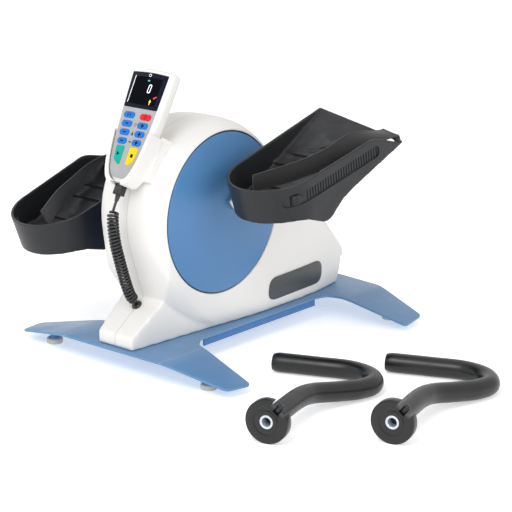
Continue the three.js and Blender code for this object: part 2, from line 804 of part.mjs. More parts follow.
/** Circuit board on four posts, with its tallest parts. */
function circuitBoard() {
  const low = plateThickness + seatGap;
  const top = plateThickness + boardLift;
  const [w, l] = [boardWidth / 2, boardLength / 2];
  let board = block([-w, boardY - l, top], [w, boardY + l, top + boardThickness]);
  const deck = top + boardThickness / 2;
  for (const [x, y] of [[-1, -1], [1, -1], [-1, 1], [1, 1]]) {
    const [u, v] = [x * (w - postRadius), boardY + y * (l - postRadius)];
    board = board.add(bar("z", postRadius, low, deck, u, v, smallSides / 2));
  }
  board = board.add(block([-w / 2, boardY - l / 2, deck], [0, boardY + l / 2, deck + chipHeight]));
  return board.add(bar("z", canRadius, deck, deck + chipHeight * 2, w / 2, boardY, smallSides));
}

/** Power inlet: a socket let into the rear wall. */
function powerInlet() {
  const [w, h] = [inletWidth / 2, inletHeight / 2];
  const back = tailWallY - housingWall;
  const body = block([-w, back - inletDepth, inletZ - h], [w, back + housingWall + inletProud, inletZ + h]);
  const [u, v] = [w - inletWall, h - inletWall];
  const socket = block([-u, back + housingWall + inletProud - inletSocketDepth, inletZ - v],
    [u, back + inletDepth, inletZ + v]);
  return body.subtract(socket);
}

sides.forEach(([name, side]) => add(`bearing_${name}`, bearing(side), steel));
add("crank_axle", bar("x", axleRadius, -lipHalfWidth, lipHalfWidth, 0, axisHeight), steel);
add("inner_frame", innerFrame(), motorGrey);
add("drive_pulley", drivePulley(), motorGrey);
add("drive_belt", driveBelt(), beltBlack);
add("motor", motor(), motorGrey);
add("motor_pulley", motorPulley(), steel);
add("circuit_board", circuitBoard(), boardGreen);
add("power_inlet", powerInlet(), beltBlack);

const halfWidthAt = (y) => heelRadius + flare * Math.max(0, y + heelY);

/** The toe plate's height: it falls outward and rises toward the toe. */
const plateAt = (x, y) => rimHeight - plateRoll * (x + halfWidthAt(toeInner)) + platePitch * (y - toeInner);
const toePlace = (x, y, z = plateAt(x, y)) => new THREE.Vector3(x, y, z);
const innerCorner = toePlace(-halfWidthAt(toeInner), toeInner);
const rimCorner = toePlace(halfWidthAt(toeOuter), toeOuter, rimHeight);
const tipCorner = toePlace(halfWidthAt(toeTip), toeTip);
const soleHeights = [soleHeel, soleArch, soleBall, soleToe];
const soleStations = soleShares.map((share) => share * toeInner);
const soleSlope = (soleToe - soleBall) / (soleStations[3] - soleStations[2]);

/** The sole's height at a place along the foot. */
function soleAt(y) {
  if (y <= soleStations[0]) return soleHeel;
  for (let i = 1; i < soleStations.length; i += 1) {
    const [y0, y1] = [soleStations[i - 1], soleStations[i]];
    const [z0, z1] = [soleHeights[i - 1], soleHeights[i]];
    if (y <= y1) return z0 + ((z1 - z0) * (y - y0)) / (y1 - y0);
  }
  return soleToe + soleSlope * (y - soleStations[3]);
}

/** The foot shell's plan, drawn in: a half-round heel with walls that open toward the toe. */
function trayPlan(inset) {
  const half = halfWidthAt(toeReach) - inset;
  const plan = [[half, toeReach], [-half, toeReach]];
  for (let i = 0; i <= heelSteps; i += 1) {
    const angle = Math.PI + (Math.PI * i) / heelSteps;
    plan.push([(heelRadius - inset) * Math.cos(angle), -heelY + (heelRadius - inset) * Math.sin(angle)]);
  }
  return plan;
}

const shellForm = (inset, top = rimHeight) =>
  loft([[trayPlan(shellDraft + inset), -shellFoot], [trayPlan(inset), top]]);

/** A big box on one side of the plane through three places, the side that the turn a, b, c faces. */
function halfSpace(a, b, c) {
  const far = toeReach * 2;
  const along = new THREE.Vector3().subVectors(b, a).normalize();
  const normal = new THREE.Vector3().subVectors(c, a).cross(along).negate().normalize();
  const across = new THREE.Vector3().crossVectors(normal, along);
  const place = new THREE.Matrix4().makeBasis(along, across, normal).setPosition(a);
  return solid(geometryOf(block([-far, -far, 0], [far, far, far])).applyMatrix4(place));
}

/** Everything over and in front of the crease where the toe plate begins. */
function overPlate(setBack) {
  const far = toeReach * 2;
  const crease = creaseShares.map(([x, y]) => [x * heelRadius, y * toeInner - setBack]);
  return prism([...crease, [far, crease.at(-1)[1]], [far, far], [-far, far], [-far, crease[0][1]]], "z", -far, far);
}

/** Everything above the sole and, past the crease, above the toe plate. */
function footRoom() {
  const far = toeReach * 2;
  const sole = [[-far, soleHeel], ...soleStations.map((y, i) => [y, soleHeights[i]]),
    [toeReach, soleAt(toeReach)], [toeReach, far], [-far, far]];
  const above = halfSpace(innerCorner, toePlace(0, 0), tipCorner);
  return prism(sole, "x", -far, far).add(overPlate(0)).intersect(above);
}

/** A stadium outline along the outer wall. */
function stadium(rear, front, height) {
  const [z0, z1] = [trackZ - height / 2, trackZ + height / 2];
  const round = height / 2;
  return rounded([[-rear, z0, round], [front, z0, round], [front, z1, round], [-rear, z1, round]]);
}

/** Foot shell of the right side. */
function footShell() {
  const wide = toeReach;
  const under = underStationShares.map((share, i) => [share * toeReach, -underShares[i] * underLow]);
  const ends = [[wide * 2, under.at(-1)[1]], [wide * 2, -wide], [-wide, -wide], [-wide, under[0][1]]];
  const below = [...under, ...ends];
  const room = shellForm(shellWall, rimHeight + overrun).intersect(footRoom());
  const floor = soleStations.map((y) => [y, soleAt(y) - soleThickness]);
  const underSole = [[-wide, floor[0][1]], ...floor, [floor[3][0], -wide], [-wide, -wide]];
  const [inner, middle, tip] = [innerCorner, toePlace(0, 0), tipCorner].map((place) =>
    place.clone().setZ(place.z - soleThickness));
  const underPlate = overPlate(0).intersect(halfSpace(inner, tip, middle));
  const skirtRoom = prism(underSole, "x", -wide, wide).subtract(overPlate(soleThickness)).add(underPlate);
  let shell = shellForm(0).subtract(room);
  shell = shell.subtract(shellForm(shellWall).intersect(skirtRoom));

  for (const share of padShares) {
    const y = share * toeInner;
    const wedge = [[y, soleAt(y) - overrun], [y + padLength, soleAt(y + padLength) - overrun],
      [y + padLength, soleAt(y + padLength) + padRise / 4], [y, soleAt(y) + padRise]];
    shell = shell.add(prism(wedge, "x", -wide, wide).intersect(shellForm(shellWall - overrun / 2)));
  }

  const hubFrom = lipHalfWidth + seatGap + crankBarThickness + hubClearance - shellCentreX;
  const hubTo = hubFrom + hubLength;
  const pinEnd = lipHalfWidth + seatGap + pinLength + hubClearance - shellCentreX;
  shell = shell.add(bar("x", hubRadius, hubFrom, hubTo));
  const webTop = soleAt(-hubRadius) - soleThickness / 2;
  shell = shell.add(block([-halfWidthAt(0) + shellDraft, -hubRadius, 0], [hubTo, hubRadius, webTop]));
  shell = shell.subtract(bar("x", pinRadius + seatGap, hubFrom - overrun, pinEnd));

  const track = prism(stadium(trackRear, trackFront, trackHeight), "x", 0, wide);
  shell = shell.subtract(track.intersect(shellForm(-overrun)).subtract(shellForm(trackDepth)));
  const grooveHeight = trackHeight - trackDepth * 2;
  const grooves = [];
  for (let i = 0; i < ribCount; i += 1) {
    const y = trackFront - ribMargin - ribGap - i * ribPitch;
    grooves.push(block([0, y, trackZ - grooveHeight / 2], [wide, y + ribGap, trackZ + grooveHeight / 2]));
  }
  const grooved = joined(...grooves).intersect(shellForm(-overrun));
  shell = shell.subtract(grooved.subtract(shellForm(trackDepth + ribDepth)));
  const [slotLow, slotHigh] = [trackZ - grooveHeight / 2, trackZ + grooveHeight / 2];
  const slot = block([0, -slotY, slotLow], [wide, -slotY + slotWidth, slotHigh]);
  shell = shell.subtract(slot.intersect(shellForm(-overrun)).subtract(shellForm(shellWall + overrun)));

  shell = shell.subtract(prism(below, "x", -wide, wide));
  const [start, end] = [innerCorner, tipCorner].map((place) => place.clone().setY(place.y + toeLip));
  const ahead = halfSpace(start, start.clone().setZ(start.z + rimHeight), end);
  return shell.subtract(halfSpace(innerCorner, rimCorner, tipCorner)).subtract(ahead);
}

/** Slider: an arrow-headed wedge that runs in the track. */
function strapSlider() {
  const start = -slotY + slotWidth + seatGap;
  const half = trackHeight / 2 - trackDepth - seatGap;
  const neck = start + sliderNeck;
  const outline = [[start, trackZ - half], [neck, trackZ - half], [start + sliderLength, trackZ],
    [neck, trackZ + half], [start, trackZ + half]];
  const arrow = prism(outline, "x", heelRadius / 4, toeReach);
  return arrow.intersect(shellForm(-sliderProud)).subtract(shellForm(trackDepth - seatGap));
}

/** Strap: a wide band that stands on edge at the heel, twists and lies over the toe plate's edge. */
function strap() {
  const edgeShare = (strapEdgeX - innerCorner.x) / (tipCorner.x - innerCorner.x);
  const edgeY = toeInner + (toeTip - toeInner) * edgeShare;
  const half = strapWidth / 2;
  const lean = new THREE.Vector3(-1, 0, strapEdgeLean).normalize();
  const rest = plateAt(strapEdgeX + half, edgeY) + seatGap + strapThickness / 2;
  const edge = new THREE.Vector3(strapEdgeX, edgeY, rest + half * lean.z);
  const tail = edge.clone().add(new THREE.Vector3(0, strapTail, -strapThickness));
  const middle = strapRouteShares.map(([x, y, z]) =>
    new THREE.Vector3(x * heelRadius, y * toeInner, z * rimHeight));
  const centres = [...middle, edge, tail];
  const leans = [...strapLeanShares.map((p) => new THREE.Vector3(...p).normalize()), lean, lean];
  const route = new THREE.CatmullRomCurve3(centres, false, "centripetal");
  const turns = new THREE.CatmullRomCurve3(leans, false, "centripetal");
  const places = [];
  for (let i = 0; i <= strapSteps; i += 1) {
    const centre = route.getPoint(i / strapSteps);
    const across = turns.getPoint(i / strapSteps).normalize();
    const face = route.getTangent(i / strapSteps).cross(across).normalize();
    for (const [u, w] of [[-1, -1], [1, -1], [1, 1], [-1, 1]]) {
      const corner = centre.clone().addScaledVector(across, u * half);
      places.push(corner.addScaledVector(face, (w * strapThickness) / 2).toArray());
    }
  }
  return skinned(places, 4);
}

sides.forEach(([name, side]) => {
  const angle = radians(crankAngle) + (side > 0 ? 0 : Math.PI);
  const shell = new THREE.Group();
  const [y, z] = [crankRadius * Math.cos(angle), axisHeight + crankRadius * Math.sin(angle)];
  shell.position.set(side * shellCentreX, y, z);
  shell.rotation.x = radians(side > 0 ? rightPitch : leftPitch);
  model.add(shell);
  const handed = (body) => (side > 0 ? body : mirrored(body));
  add(`foot_shell_${name}`, handed(footShell()), blackShell, shell);
  add(`strap_slider_${name}`, handed(strapSlider()), blackShell, shell);
  add(`strap_${name}`, handed(strap()), blackSoft, shell);
});

const handset = new THREE.Group();
handset.position.set(0, -handsetY, handsetZ);
handset.rotation.x = radians(-handsetTilt);
model.add(handset);
handset.updateMatrix();

/** The handset's outline in (across, up), drawn in by the inset. */
function handsetOutline(inset) {
  const place = (share) => (share < 0 ? share * (handsetBottom - inset) : share * (handsetTop - inset));
  const right = sideShares.map(([width, up], i) => {
    const x = width * handsetHalfWidth - inset;
    const round = i < sideRoundings.length ? sideRoundings[i] * handsetHalfWidth : handsetCorner;
    return [x, place(up), round];
  });
  const left = right.map(([x, z, round]) => [-x, z, round]).reverse();
  return rounded([...right, [0, handsetTop + handsetCrown - inset, handsetHalfWidth / 2], ...left]);
}

/** A body between two handset outlines at two depths. */
function handsetSlab(near, nearInset, far, farInset) {
  const plan = (inset) => handsetOutline(inset).getPoints(tinySteps).map((point) => [point.x, point.y]);
  return solid(stand(geometryOf(loft([[plan(nearInset), near], [plan(farInset), far]])), "y"));
}

/** The window's outline, grown by a clearance. */
function windowOutline(grow) {
  const foot = -grow;
  const top = windowHeight + grow;
  const [footHalf, topHalf] = [windowFootHalfWidth + grow, windowTopHalfWidth + grow];
  return rounded([[-footHalf, foot, windowCorner], [footHalf, foot, windowCorner], [topHalf, top, windowCorner],
    [0, top + handsetCrown, windowTopHalfWidth / 2], [-topHalf, top, windowCorner]]);
}

/** The keypad sheet's outline, grown by a clearance. */
function overlayOutline(grow) {
  const right = overlayShares.map(([width, up]) =>
    [width * windowFootHalfWidth + grow, up * overlayLength - (up < 0 ? grow : overlayGap - grow), overlayRound]);
  right[right.length - 1][2] = 0;
  const left = right.map(([x, z, round]) => [-x, z, round]).reverse();
  return rounded([...right, ...left]);
}

/** Each key's name, outline maker and material. */
function keyList() {
  const keys = [];
  const pill = (x, z, length) => (grow) => {
    const [w, h] = [length / 2 + grow, keyHeight / 2 + grow];
    const corners = [[x - w, z - h], [x + w, z - h], [x + w, z + h], [x - w, z + h]];
    return rounded(corners.map((corner) => [...corner, keyCorner]));
  };
  const names = [["key_direction", "key_power"], ["key_minus_1", "key_plus_1"], ["key_minus_2", "key_plus_2"],
    ["key_minus_3", "key_plus_3"]];
  names.forEach(([left, right], row) => {
    const z = -keyFirstRow - row * keyRowPitch;
    const x = keyCentre - (row * keyTaper) / 2;
    const length = keyLength - row * keyTaper;
    keys.push([left, pill(-x, z, length), keyBlue]);
    keys.push([right, pill(x, z, length), row > 0 ? keyBlue : keyRed]);
  });
  const shield = (side) => (grow) => {
    const [inner, outer] = [shieldInner - grow, shieldInner + shieldWidth + grow];
    const [top, foot] = [-shieldTop + grow, -shieldTop - shieldHeight - grow];
    const corners = [[inner, foot, shieldCorner], [inner + shieldWidth / 3, foot, shieldCorner],
      [outer - shieldWidth / 7, foot + shieldHeight / 4, shieldCorner], [outer, top, shieldCorner],
      [inner, top, shieldCorner]];
    return rounded(side > 0 ? corners : corners.map(([x, z, r]) => [-x, z, r]).reverse());
  };
  keys.push(["key_start", shield(-1), keyGreen]);
  keys.push(["key_stop", shield(1), keyYellow]);
  return keys;
}

const keys = keyList();

/** Front half: the bevelled face with its window, sheet and key pockets, hollow behind. */
function handsetFront() {
  const keyDepth = keyThickness - keyProud - overlayProud + keyTravel + seatGap;
  let front = handsetSlab(0, faceInset, creaseDepth, 0);
  const hollow = faceInset + handsetWall;
  front = front.subtract(handsetSlab(keyDepth + handsetWall, hollow, creaseDepth + overrun, hollow));
  front = front.subtract(prism(windowOutline(seatGap), "y", -overrun, windowThickness));
  front = front.subtract(prism(overlayOutline(seatGap), "y", -overrun, overlayThickness));
  for (const [, outline] of keys) {
    front = front.subtract(prism(outline(seatGap), "y", -overrun, keyDepth, tinySteps));
  }
  return front;
}

function handsetBack() {
  const near = creaseDepth + seatGap;
  const back = handsetSlab(near, 0, handsetDepth, backInset);
  const floor = handsetDepth - handsetWall;
  return back.subtract(handsetSlab(near - overrun, handsetWall, floor, handsetWall + backInset));
}

function keypadOverlay() {
  let sheet = prism(overlayOutline(0), "y", -overlayProud, overlayThickness - overlayProud);
  for (const [, outline] of keys) {
    sheet = sheet.subtract(prism(outline(seatGap), "y", -overrun, overlayThickness, tinySteps));
  }
  return sheet;
}

add("handset_front", handsetFront(), offWhite, handset);
add("handset_back", handsetBack(), offWhite, handset);
add("display_window", prism(windowOutline(0), "y", -seatGap, windowThickness - seatGap), darkGlass, handset);
add("keypad_overlay", keypadOverlay(), keypadGrey, handset);
const keyFace = -keyProud - overlayProud;
keys.forEach(([name, outline, material]) => {
  add(name, prism(outline(0), "y", keyFace, keyFace + keyThickness, tinySteps), material, handset);
});

/** Cradle: a trough round the handset's lower half on a block that follows the drum. */
function cradle() {
  const back = handsetDepth + cradleFit + cradleBack;
  const outer = cradleFit + cradleWall;
  const tall = handsetBottom * 2;
  const belowTop = block([-tall, -tall, -tall], [tall, tall, -cradleTop]);
  let trough = handsetSlab(-cradleLip, -outer, back, -outer).intersect(belowTop);
  trough = trough.subtract(handsetSlab(-overrun / 2, -cradleFit, handsetDepth + cradleFit, -cradleFit));
  const mouthInset = faceInset - overrun;
  trough = trough.subtract(handsetSlab(-cradleLip - overrun, mouthInset, overrun / 4, mouthInset));
  const notch = block([-notchHalfWidth, -cradleLip - overrun, -handsetBottom - outer - overrun],
    [notchHalfWidth, back - notchRear, -handsetBottom + overrun]);
  trough = trough.subtract(notch);
  const half = handsetHalfWidth - bracketInset;
  const bracket = block([-half, back - cradleBack / 2, bracketFoot - handsetBottom],
    [half, back + bracketReach, bracketInset - cradleTop]);
  const whole = solid(geometryOf(trough.add(bracket)).applyMatrix4(handset.matrix));
  return whole.subtract(housingForm(-seatGap));
}

add("cradle", cradle(), offWhite);

/** Plug at the handset's foot with its strain relief, in the handset's frame. */
function cordPlug() {
  const top = -handsetBottom - seatGap;
  const half = plugWidth / 2;
  const body = block([-half, plugDepthPlace - half, top - plugHeight], [half, plugDepthPlace + half, top]);
  const low = top - plugHeight - reliefLength;
  const high = top - plugHeight + overrun;
  const profile = [[0, low], [reliefTipRadius, low], [reliefRadius, high], [0, high]];
  const relief = turned(profile, "z", 0, plugDepthPlace, smallSides);
  return body.add(relief);
}

add("cord_plug", cordPlug(), beltBlack, handset);

// The nose's slope, with the gland square on it
const slopeAngle = Math.atan2(noseTopZ - noseBrow, noseFront - noseTopY);
const glandGroup = new THREE.Group();
const glandRun = (noseFront - noseTopY) * glandReach;
glandGroup.position.set(0, -noseFront + glandRun, noseBrow + glandRun * Math.tan(slopeAngle));
glandGroup.rotation.x = slopeAngle;
model.add(glandGroup);
glandGroup.updateMatrix();

function cordGland() {
  const low = -housingWall - overrun;
  return turned([[0, low], [glandShank, low], [glandShank, seatGap], [glandRadius, seatGap],
    [glandTopRadius, glandHeight], [0, glandHeight]], "z", 0, 0, smallSides);
}

add("cord_gland", cordGland(), beltBlack, glandGroup);

/** The curly cord's centre line: straight ends on the axis, and between them a helix along the route. */
function curlLine() {
  const plugFoot = -handsetBottom - plugHeight - reliefLength - seatGap * 2;
  const plugEnd = new THREE.Vector3(0, plugDepthPlace, plugFoot);
  const plugAway = new THREE.Vector3(0, plugDepthPlace, plugEnd.z - plugLead);
  const glandEnd = new THREE.Vector3(0, 0, glandHeight + seatGap);
  const glandAway = new THREE.Vector3(0, 0, glandEnd.z + glandLead);
  [plugEnd, plugAway].forEach((p) => p.applyMatrix4(handset.matrix));
  [glandEnd, glandAway].forEach((p) => p.applyMatrix4(glandGroup.matrix));
  const middle = curlRoute.map((p) => new THREE.Vector3(...p));
  const path = new THREE.CatmullRomCurve3([plugAway, ...middle, glandAway], false, "centripetal");
  const across = new THREE.Vector3(1, 0, 0);
  const points = [plugEnd.clone(), plugEnd.clone().lerp(plugAway, curlLeadShare)];
  const radials = [across.clone(), across.clone()];
  const count = curlCount * curlSteps;
  for (let i = 0; i <= count; i += 1) {
    const share = i / count;
    const tangent = path.getTangentAt(share);
    const other = new THREE.Vector3().crossVectors(tangent, across).normalize();
    const angle = (2 * Math.PI * i) / curlSteps;
    const radial = across.clone().multiplyScalar(Math.cos(angle)).addScaledVector(other, Math.sin(angle));
    const ramp = Math.min(1, i / curlSteps, (count - i) / curlSteps);
    const grown = curlRadius * Math.sin((ramp * Math.PI) / 2);
    points.push(path.getPointAt(share).addScaledVector(radial, grown));
    radials.push(radial);
  }
  points.push(glandEnd.clone().lerp(glandAway, curlLeadShare), glandEnd.clone());
  radials.push(radials.at(-1).clone(), radials.at(-1).clone());
  return { points, radials };
}

/** The curly cord: one unbroken tube of five sides round the centre line. */
function curlyCord() {
  const { points, radials } = curlLine();
  const places = [];
  points.forEach((point, i) => {
    const ahead = points[Math.min(i + 1, points.length - 1)];
    const behind = points[Math.max(i - 1, 0)];
    const tangent = new THREE.Vector3().subVectors(ahead, behind).normalize();
    const side = radials[i].clone().addScaledVector(tangent, -radials[i].dot(tangent)).normalize();
    const up = new THREE.Vector3().crossVectors(tangent, side);
    for (let j = 0; j < curlSides; j += 1) {
      const angle = (2 * Math.PI * j) / curlSides;
      const corner = point.clone().addScaledVector(side, curlWire * Math.cos(angle));
      places.push(corner.addScaledVector(up, curlWire * Math.sin(angle)).toArray());
    }
  });
  return skinned(places, curlSides);
}

/** The least clear distance between two stretches of the curly cord that are half a turn or more apart. */
function curlGap() {
  const { points } = curlLine();
  let least = Infinity;
  for (let i = 0; i < points.length; i += 1) {
    for (let j = i + curlSteps / 2 + 1; j < Math.min(points.length, i + curlSteps * 3); j += 1) {
      least = Math.min(least, points[i].distanceTo(points[j]));
    }
  }
  return least - curlWire * 2;
}

console.log(`curly cord: ${curlCount} curls, least gap to itself ${curlGap().toFixed(2)} mm`);
add("curly_cord", curlyCord(), beltBlack);

/** The nose's hole for the gland is cut in both housing halves. */
for (const child of model.children.filter((mesh) => mesh.name.startsWith("housing_"))) {
  const hole = bar("z", glandHole, -housingWall * 4, glandHeight);
  const placed = solid(geometryOf(hole).applyMatrix4(glandGroup.matrix));
  const [w, h] = [inletWidth / 2 + seatGap, inletHeight / 2 + seatGap];
  const port = block([-w, tailWallY - inletDepth * 2, inletZ - h], [w, tailWallY + overrun, inletZ + h]);
  child.geometry = geometryOf(solid(child.geometry).subtract(placed).subtract(port));
}

/** The grip hub's frame: x across its face, y along its axis into the grip, z up. */
function gripHubGroup() {
  const group = new THREE.Group();
  group.position.set(gripHubX, -gripHubY, gripHubRadius + overrun / 10);
  group.rotation.z = radians(gripHubTurn);
  group.updateMatrix();
  return group;
}

/** Grip hub: a thick flange with a bore and a notch for the locking pin. */
function gripHub() {
  const flange = bar("y", gripHubRadius, 0, gripHubThickness, 0, 0, drumSides);
  const bore = bar("y", bushingRadius + seatGap, -overrun, gripHubThickness + overrun);
  const notch = block([gripHubRadius - notchBite, -overrun, -notchWidth / 2],
    [gripHubRadius * 2, gripHubThickness + overrun, notchWidth / 2]);
  const turn = new THREE.Matrix4().makeRotationY(-radians(lockPinAngle));
  return flange.subtract(bore).subtract(solid(geometryOf(notch).applyMatrix4(turn)));
}

/** Locking pin: a round-topped pin that stands in the notch, pointing away from the hub's axis. */
function lockPin() {
  const low = gripHubRadius - notchBite + seatGap;
  const high = gripHubRadius + lockPinRise;
  const pin = turned([[0, low], [lockPinRadius, low], [lockPinRadius, high - lockPinRadius / 2],
    [lockPinRadius / 2, high], [0, high]], "x", gripHubThickness / 2, 0, smallSides);
  const turn = new THREE.Matrix4().makeRotationY(-radians(lockPinAngle));
  return solid(geometryOf(pin).applyMatrix4(turn));
}

function bushing() {
  const profile = [[bushingBore, 0], [bushingRadius, 0], [bushingRadius, gripHubThickness],
    [bushingBore, gripHubThickness], [bushingBore, 0]];
  return turned(profile, "y", 0, 0, smallSides);
}

/** Grip tube: it leaves the hub's back square and bends round to lie on the floor. */
function gripTube(hub) {
  const start = new THREE.Vector3(0, gripHubThickness + seatGap, 0).applyMatrix4(hub.matrix);
  const neck = new THREE.Vector3(0, gripHubThickness + seatGap + gripNeck, 0).applyMatrix4(hub.matrix);
  const rest = gripTubeRadius + gripLift;
  const rise = hub.position.z - rest;
  const lie = gripRouteShares.map(([x, y, z]) => [x * gripHubX, y * gripHubY, rest + z * rise]);
  const route = [start.toArray(), start.clone().lerp(neck, overrun / 10).toArray(), neck.toArray(), ...lie];
  return tube(route, gripTubeRadius, gripSteps, gripSides);
}

[1, 2].forEach((number) => {
  const grip = new THREE.Group();
  grip.position.set((number - 1) * gripShiftX, (number - 1) * gripShiftY, -floorClearance);
  model.add(grip);
  const hub = gripHubGroup();
  grip.add(hub);
  add(`grip_${number}_tube`, gripTube(hub), blackShell, grip);
  add(`grip_${number}_hub`, gripHub(), blackShell, hub);
  add(`grip_${number}_bushing`, bushing(), bushingWhite, hub);
  add(`grip_${number}_lock_pin`, lockPin(), blackShell, hub);
});

export default model;
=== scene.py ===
# %% [markdown]
# # A leg and arm trainer in Blender
# The machine stands on a splayed blue sheet. An off-white drum carries a crank disc and a black foot
# shell on each side, a corded handset stands in its cradle at the front, and two hand grips lie on the
# floor beside it. The frame brings the drawing's solids and its moving bodies. This lesson gives each
# piece its fine shape and its finish. Sizes are in millimetres, as in the drawing, and each mesh is
# turned into metres once, when it becomes a piece.

# %% Load the frame
import math

import bmesh
import bpy
from mathutils import Matrix, Vector


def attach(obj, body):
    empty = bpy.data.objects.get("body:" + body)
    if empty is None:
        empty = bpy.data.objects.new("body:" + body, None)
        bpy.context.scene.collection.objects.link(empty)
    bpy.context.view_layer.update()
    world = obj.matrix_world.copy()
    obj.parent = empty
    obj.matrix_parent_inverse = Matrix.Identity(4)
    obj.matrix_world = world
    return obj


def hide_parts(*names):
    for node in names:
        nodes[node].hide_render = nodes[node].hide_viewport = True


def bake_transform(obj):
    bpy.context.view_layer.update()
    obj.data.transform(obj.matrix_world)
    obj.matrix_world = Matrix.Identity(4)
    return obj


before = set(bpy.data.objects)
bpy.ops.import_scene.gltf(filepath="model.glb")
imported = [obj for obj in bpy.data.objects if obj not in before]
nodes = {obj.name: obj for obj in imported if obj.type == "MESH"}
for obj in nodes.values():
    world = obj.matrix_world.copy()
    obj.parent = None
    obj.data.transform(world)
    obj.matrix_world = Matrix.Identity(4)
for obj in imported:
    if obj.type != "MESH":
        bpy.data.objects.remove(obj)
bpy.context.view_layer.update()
scene = bpy.context.scene
MM = 0.001

# %% [markdown]
# ## The camera
# The photograph was taken with a long lens from the machine's front right. The camera could be set by
# eye, but a fit to the drum, the feet and the shells gives its place to a few millimetres, so those
# numbers are written down here. The small shift stands for the picture's own cropping.

# %% Camera
CAMERA_PLACE = Vector((1927.0, -2113.4, 927.4)) * MM
CAMERA_TARGET = Vector((137.9, 0.0, 151.7)) * MM
CAMERA_ROLL = math.radians(0.2)
SENSOR_WIDTH, LENS_LENGTH = 36, 128.33
LENS_SHIFT = (-0.0006, -0.0144)


def add_camera():
    data = bpy.data.cameras.new("camera")
    data.sensor_width = SENSOR_WIDTH
    data.lens = LENS_LENGTH
    data.shift_x, data.shift_y = LENS_SHIFT
    camera = bpy.data.objects.new("camera", data)
    scene.collection.objects.link(camera)
    away = CAMERA_TARGET - CAMERA_PLACE
    turn = away.to_track_quat("-Z", "Y").to_matrix().to_4x4()
    camera.matrix_world = Matrix.Translation(CAMERA_PLACE) @ turn @ Matrix.Rotation(CAMERA_ROLL, 4, "Z")
    scene.camera = camera


add_camera()
print("camera is", round((CAMERA_PLACE - CAMERA_TARGET).length, 3), "m away")

# %% [markdown]
# ## Drawing tools
# Most pieces here are turned, drawn as an outline and pulled straight, or skinned over a row of rings.
# Each could be modelled by hand with Blender's edit tools, but a few short functions that return a
# mesh keep every size in view and can be run again. A mesh stays in millimetres until it is a piece.

# %% Meshes from places and faces
SAME_PLACE = 1e-4


def outward(mesh):
    """Joins corners that meet and points the faces out."""
    work = bmesh.new()
    work.from_mesh(mesh)
    bmesh.ops.remove_doubles(work, verts=work.verts, dist=SAME_PLACE)
    bmesh.ops.recalc_face_normals(work, faces=work.faces)
    work.to_mesh(mesh)
    work.free()
    return mesh


def mesh_of(places, faces):
    mesh = bpy.data.meshes.new("shape")
    mesh.from_pydata([tuple(p) for p in places], [], faces)
    return outward(mesh)


def skinned(rings, looped=False):
    """A closed body over rings of places. A looped one joins its last ring to its first."""
    corners = len(rings[0])
    places = [place for ring in rings for place in ring]
    count = len(rings)
    faces = []
    for i in range(count if looped else count - 1):
        here, there = i * corners, ((i + 1) % count) * corners
        for j in range(corners):
            k = (j + 1) % corners
            faces.append((here + j, here + k, there + k, there + j))
    if not looped:
        faces.append(tuple(range(corners)))
        faces.append(tuple(range((count - 1) * corners, count * corners)))
    return mesh_of(places, faces)


def stood(u, v, w, axis):
    """A place drawn in (u, v) at the height w along the axis."""
    return {"x": (w, u, v), "y": (u, w, v), "z": (u, v, w)}[axis]


def turned(profile, axis, u=0.0, v=0.0, sides=64):
    """A turned body from [radius, place] pairs. A profile that ends where it starts is a ring."""
    looped = profile[0] == profile[-1]
    rings = []
    for radius, place in profile[:-1] if looped else profile:
        ring = []
        for i in range(sides):
            angle = 2 * math.pi * i / sides
            ring.append(stood(u + radius * math.cos(angle), v + radius * math.sin(angle), place, axis))
        rings.append(ring)
    return skinned(rings, looped)


def prism(outline, axis, low, high):
    return skinned([[stood(u, v, w, axis) for u, v in outline] for w in (low, high)])


def rod(radius, low, high, axis, u=0.0, v=0.0, sides=64):
    return turned([[0, low], [radius, low], [radius, high], [0, high]], axis, u, v, sides)


def block(low, high):
    (x0, y0, z0), (x1, y1, z1) = low, high
    return prism([(x0, y0), (x1, y0), (x1, y1), (x0, y1)], "z", z0, z1)


def hull(points):
    work = bmesh.new()
    for point in points:
        work.verts.new(point)
    made = bmesh.ops.convex_hull(work, input=work.verts)
    inside = made["geom_interior"] + made["geom_unused"]
    spare = {item for item in inside if isinstance(item, bmesh.types.BMVert)}
    bmesh.ops.delete(work, geom=list(spare), context="VERTS")
    mesh = bpy.data.meshes.new("hull")
    work.to_mesh(mesh)
    work.free()
    return outward(mesh)


def moved(mesh, matrix):
    """A copy of the mesh in another place. A mirroring matrix turns the faces round too."""
    copy = mesh.copy()
    copy.transform(matrix)
    if matrix.determinant() < 0:
        copy.flip_normals()
    return copy


SIDES = ((1, "right"), (-1, "left"))


def span(side, near, far):
    """Two places on one side of the middle plane, the lower one first."""
    return sorted((side * near, side * far))


def on_side(profile, side):
    return [[radius, side * x] for radius, x in profile]


# %% Outlines and routes
CORNER_SHARE = 0.45
TINY = 1e-6


def rounded(corners, steps=8):
    """An outline whose corners, [x, y, radius], are rounded."""
    outline = []
    for i, (x, y, radius) in enumerate(corners):
        corner = Vector((x, y))
        if radius <= 0:
            outline.append((x, y))
            continue
        ends = []
        for other in (corners[i - 1], corners[(i + 1) % len(corners)]):
            side = Vector(other[:2]) - corner
            ends.append(corner + side.normalized() * min(radius, side.length * CORNER_SHARE))
        for k in range(steps + 1):
            t = k / steps
            outline.append(tuple((1 - t) ** 2 * ends[0] + 2 * t * (1 - t) * corner + t ** 2 * ends[1]))
    return outline


def mirrored_outline(half, middle=()):
    """The corners of a whole outline from its right half, with a middle corner or none between."""
    return [*half, *middle, *[(-x, y, radius) for x, y, radius in reversed(half)]]


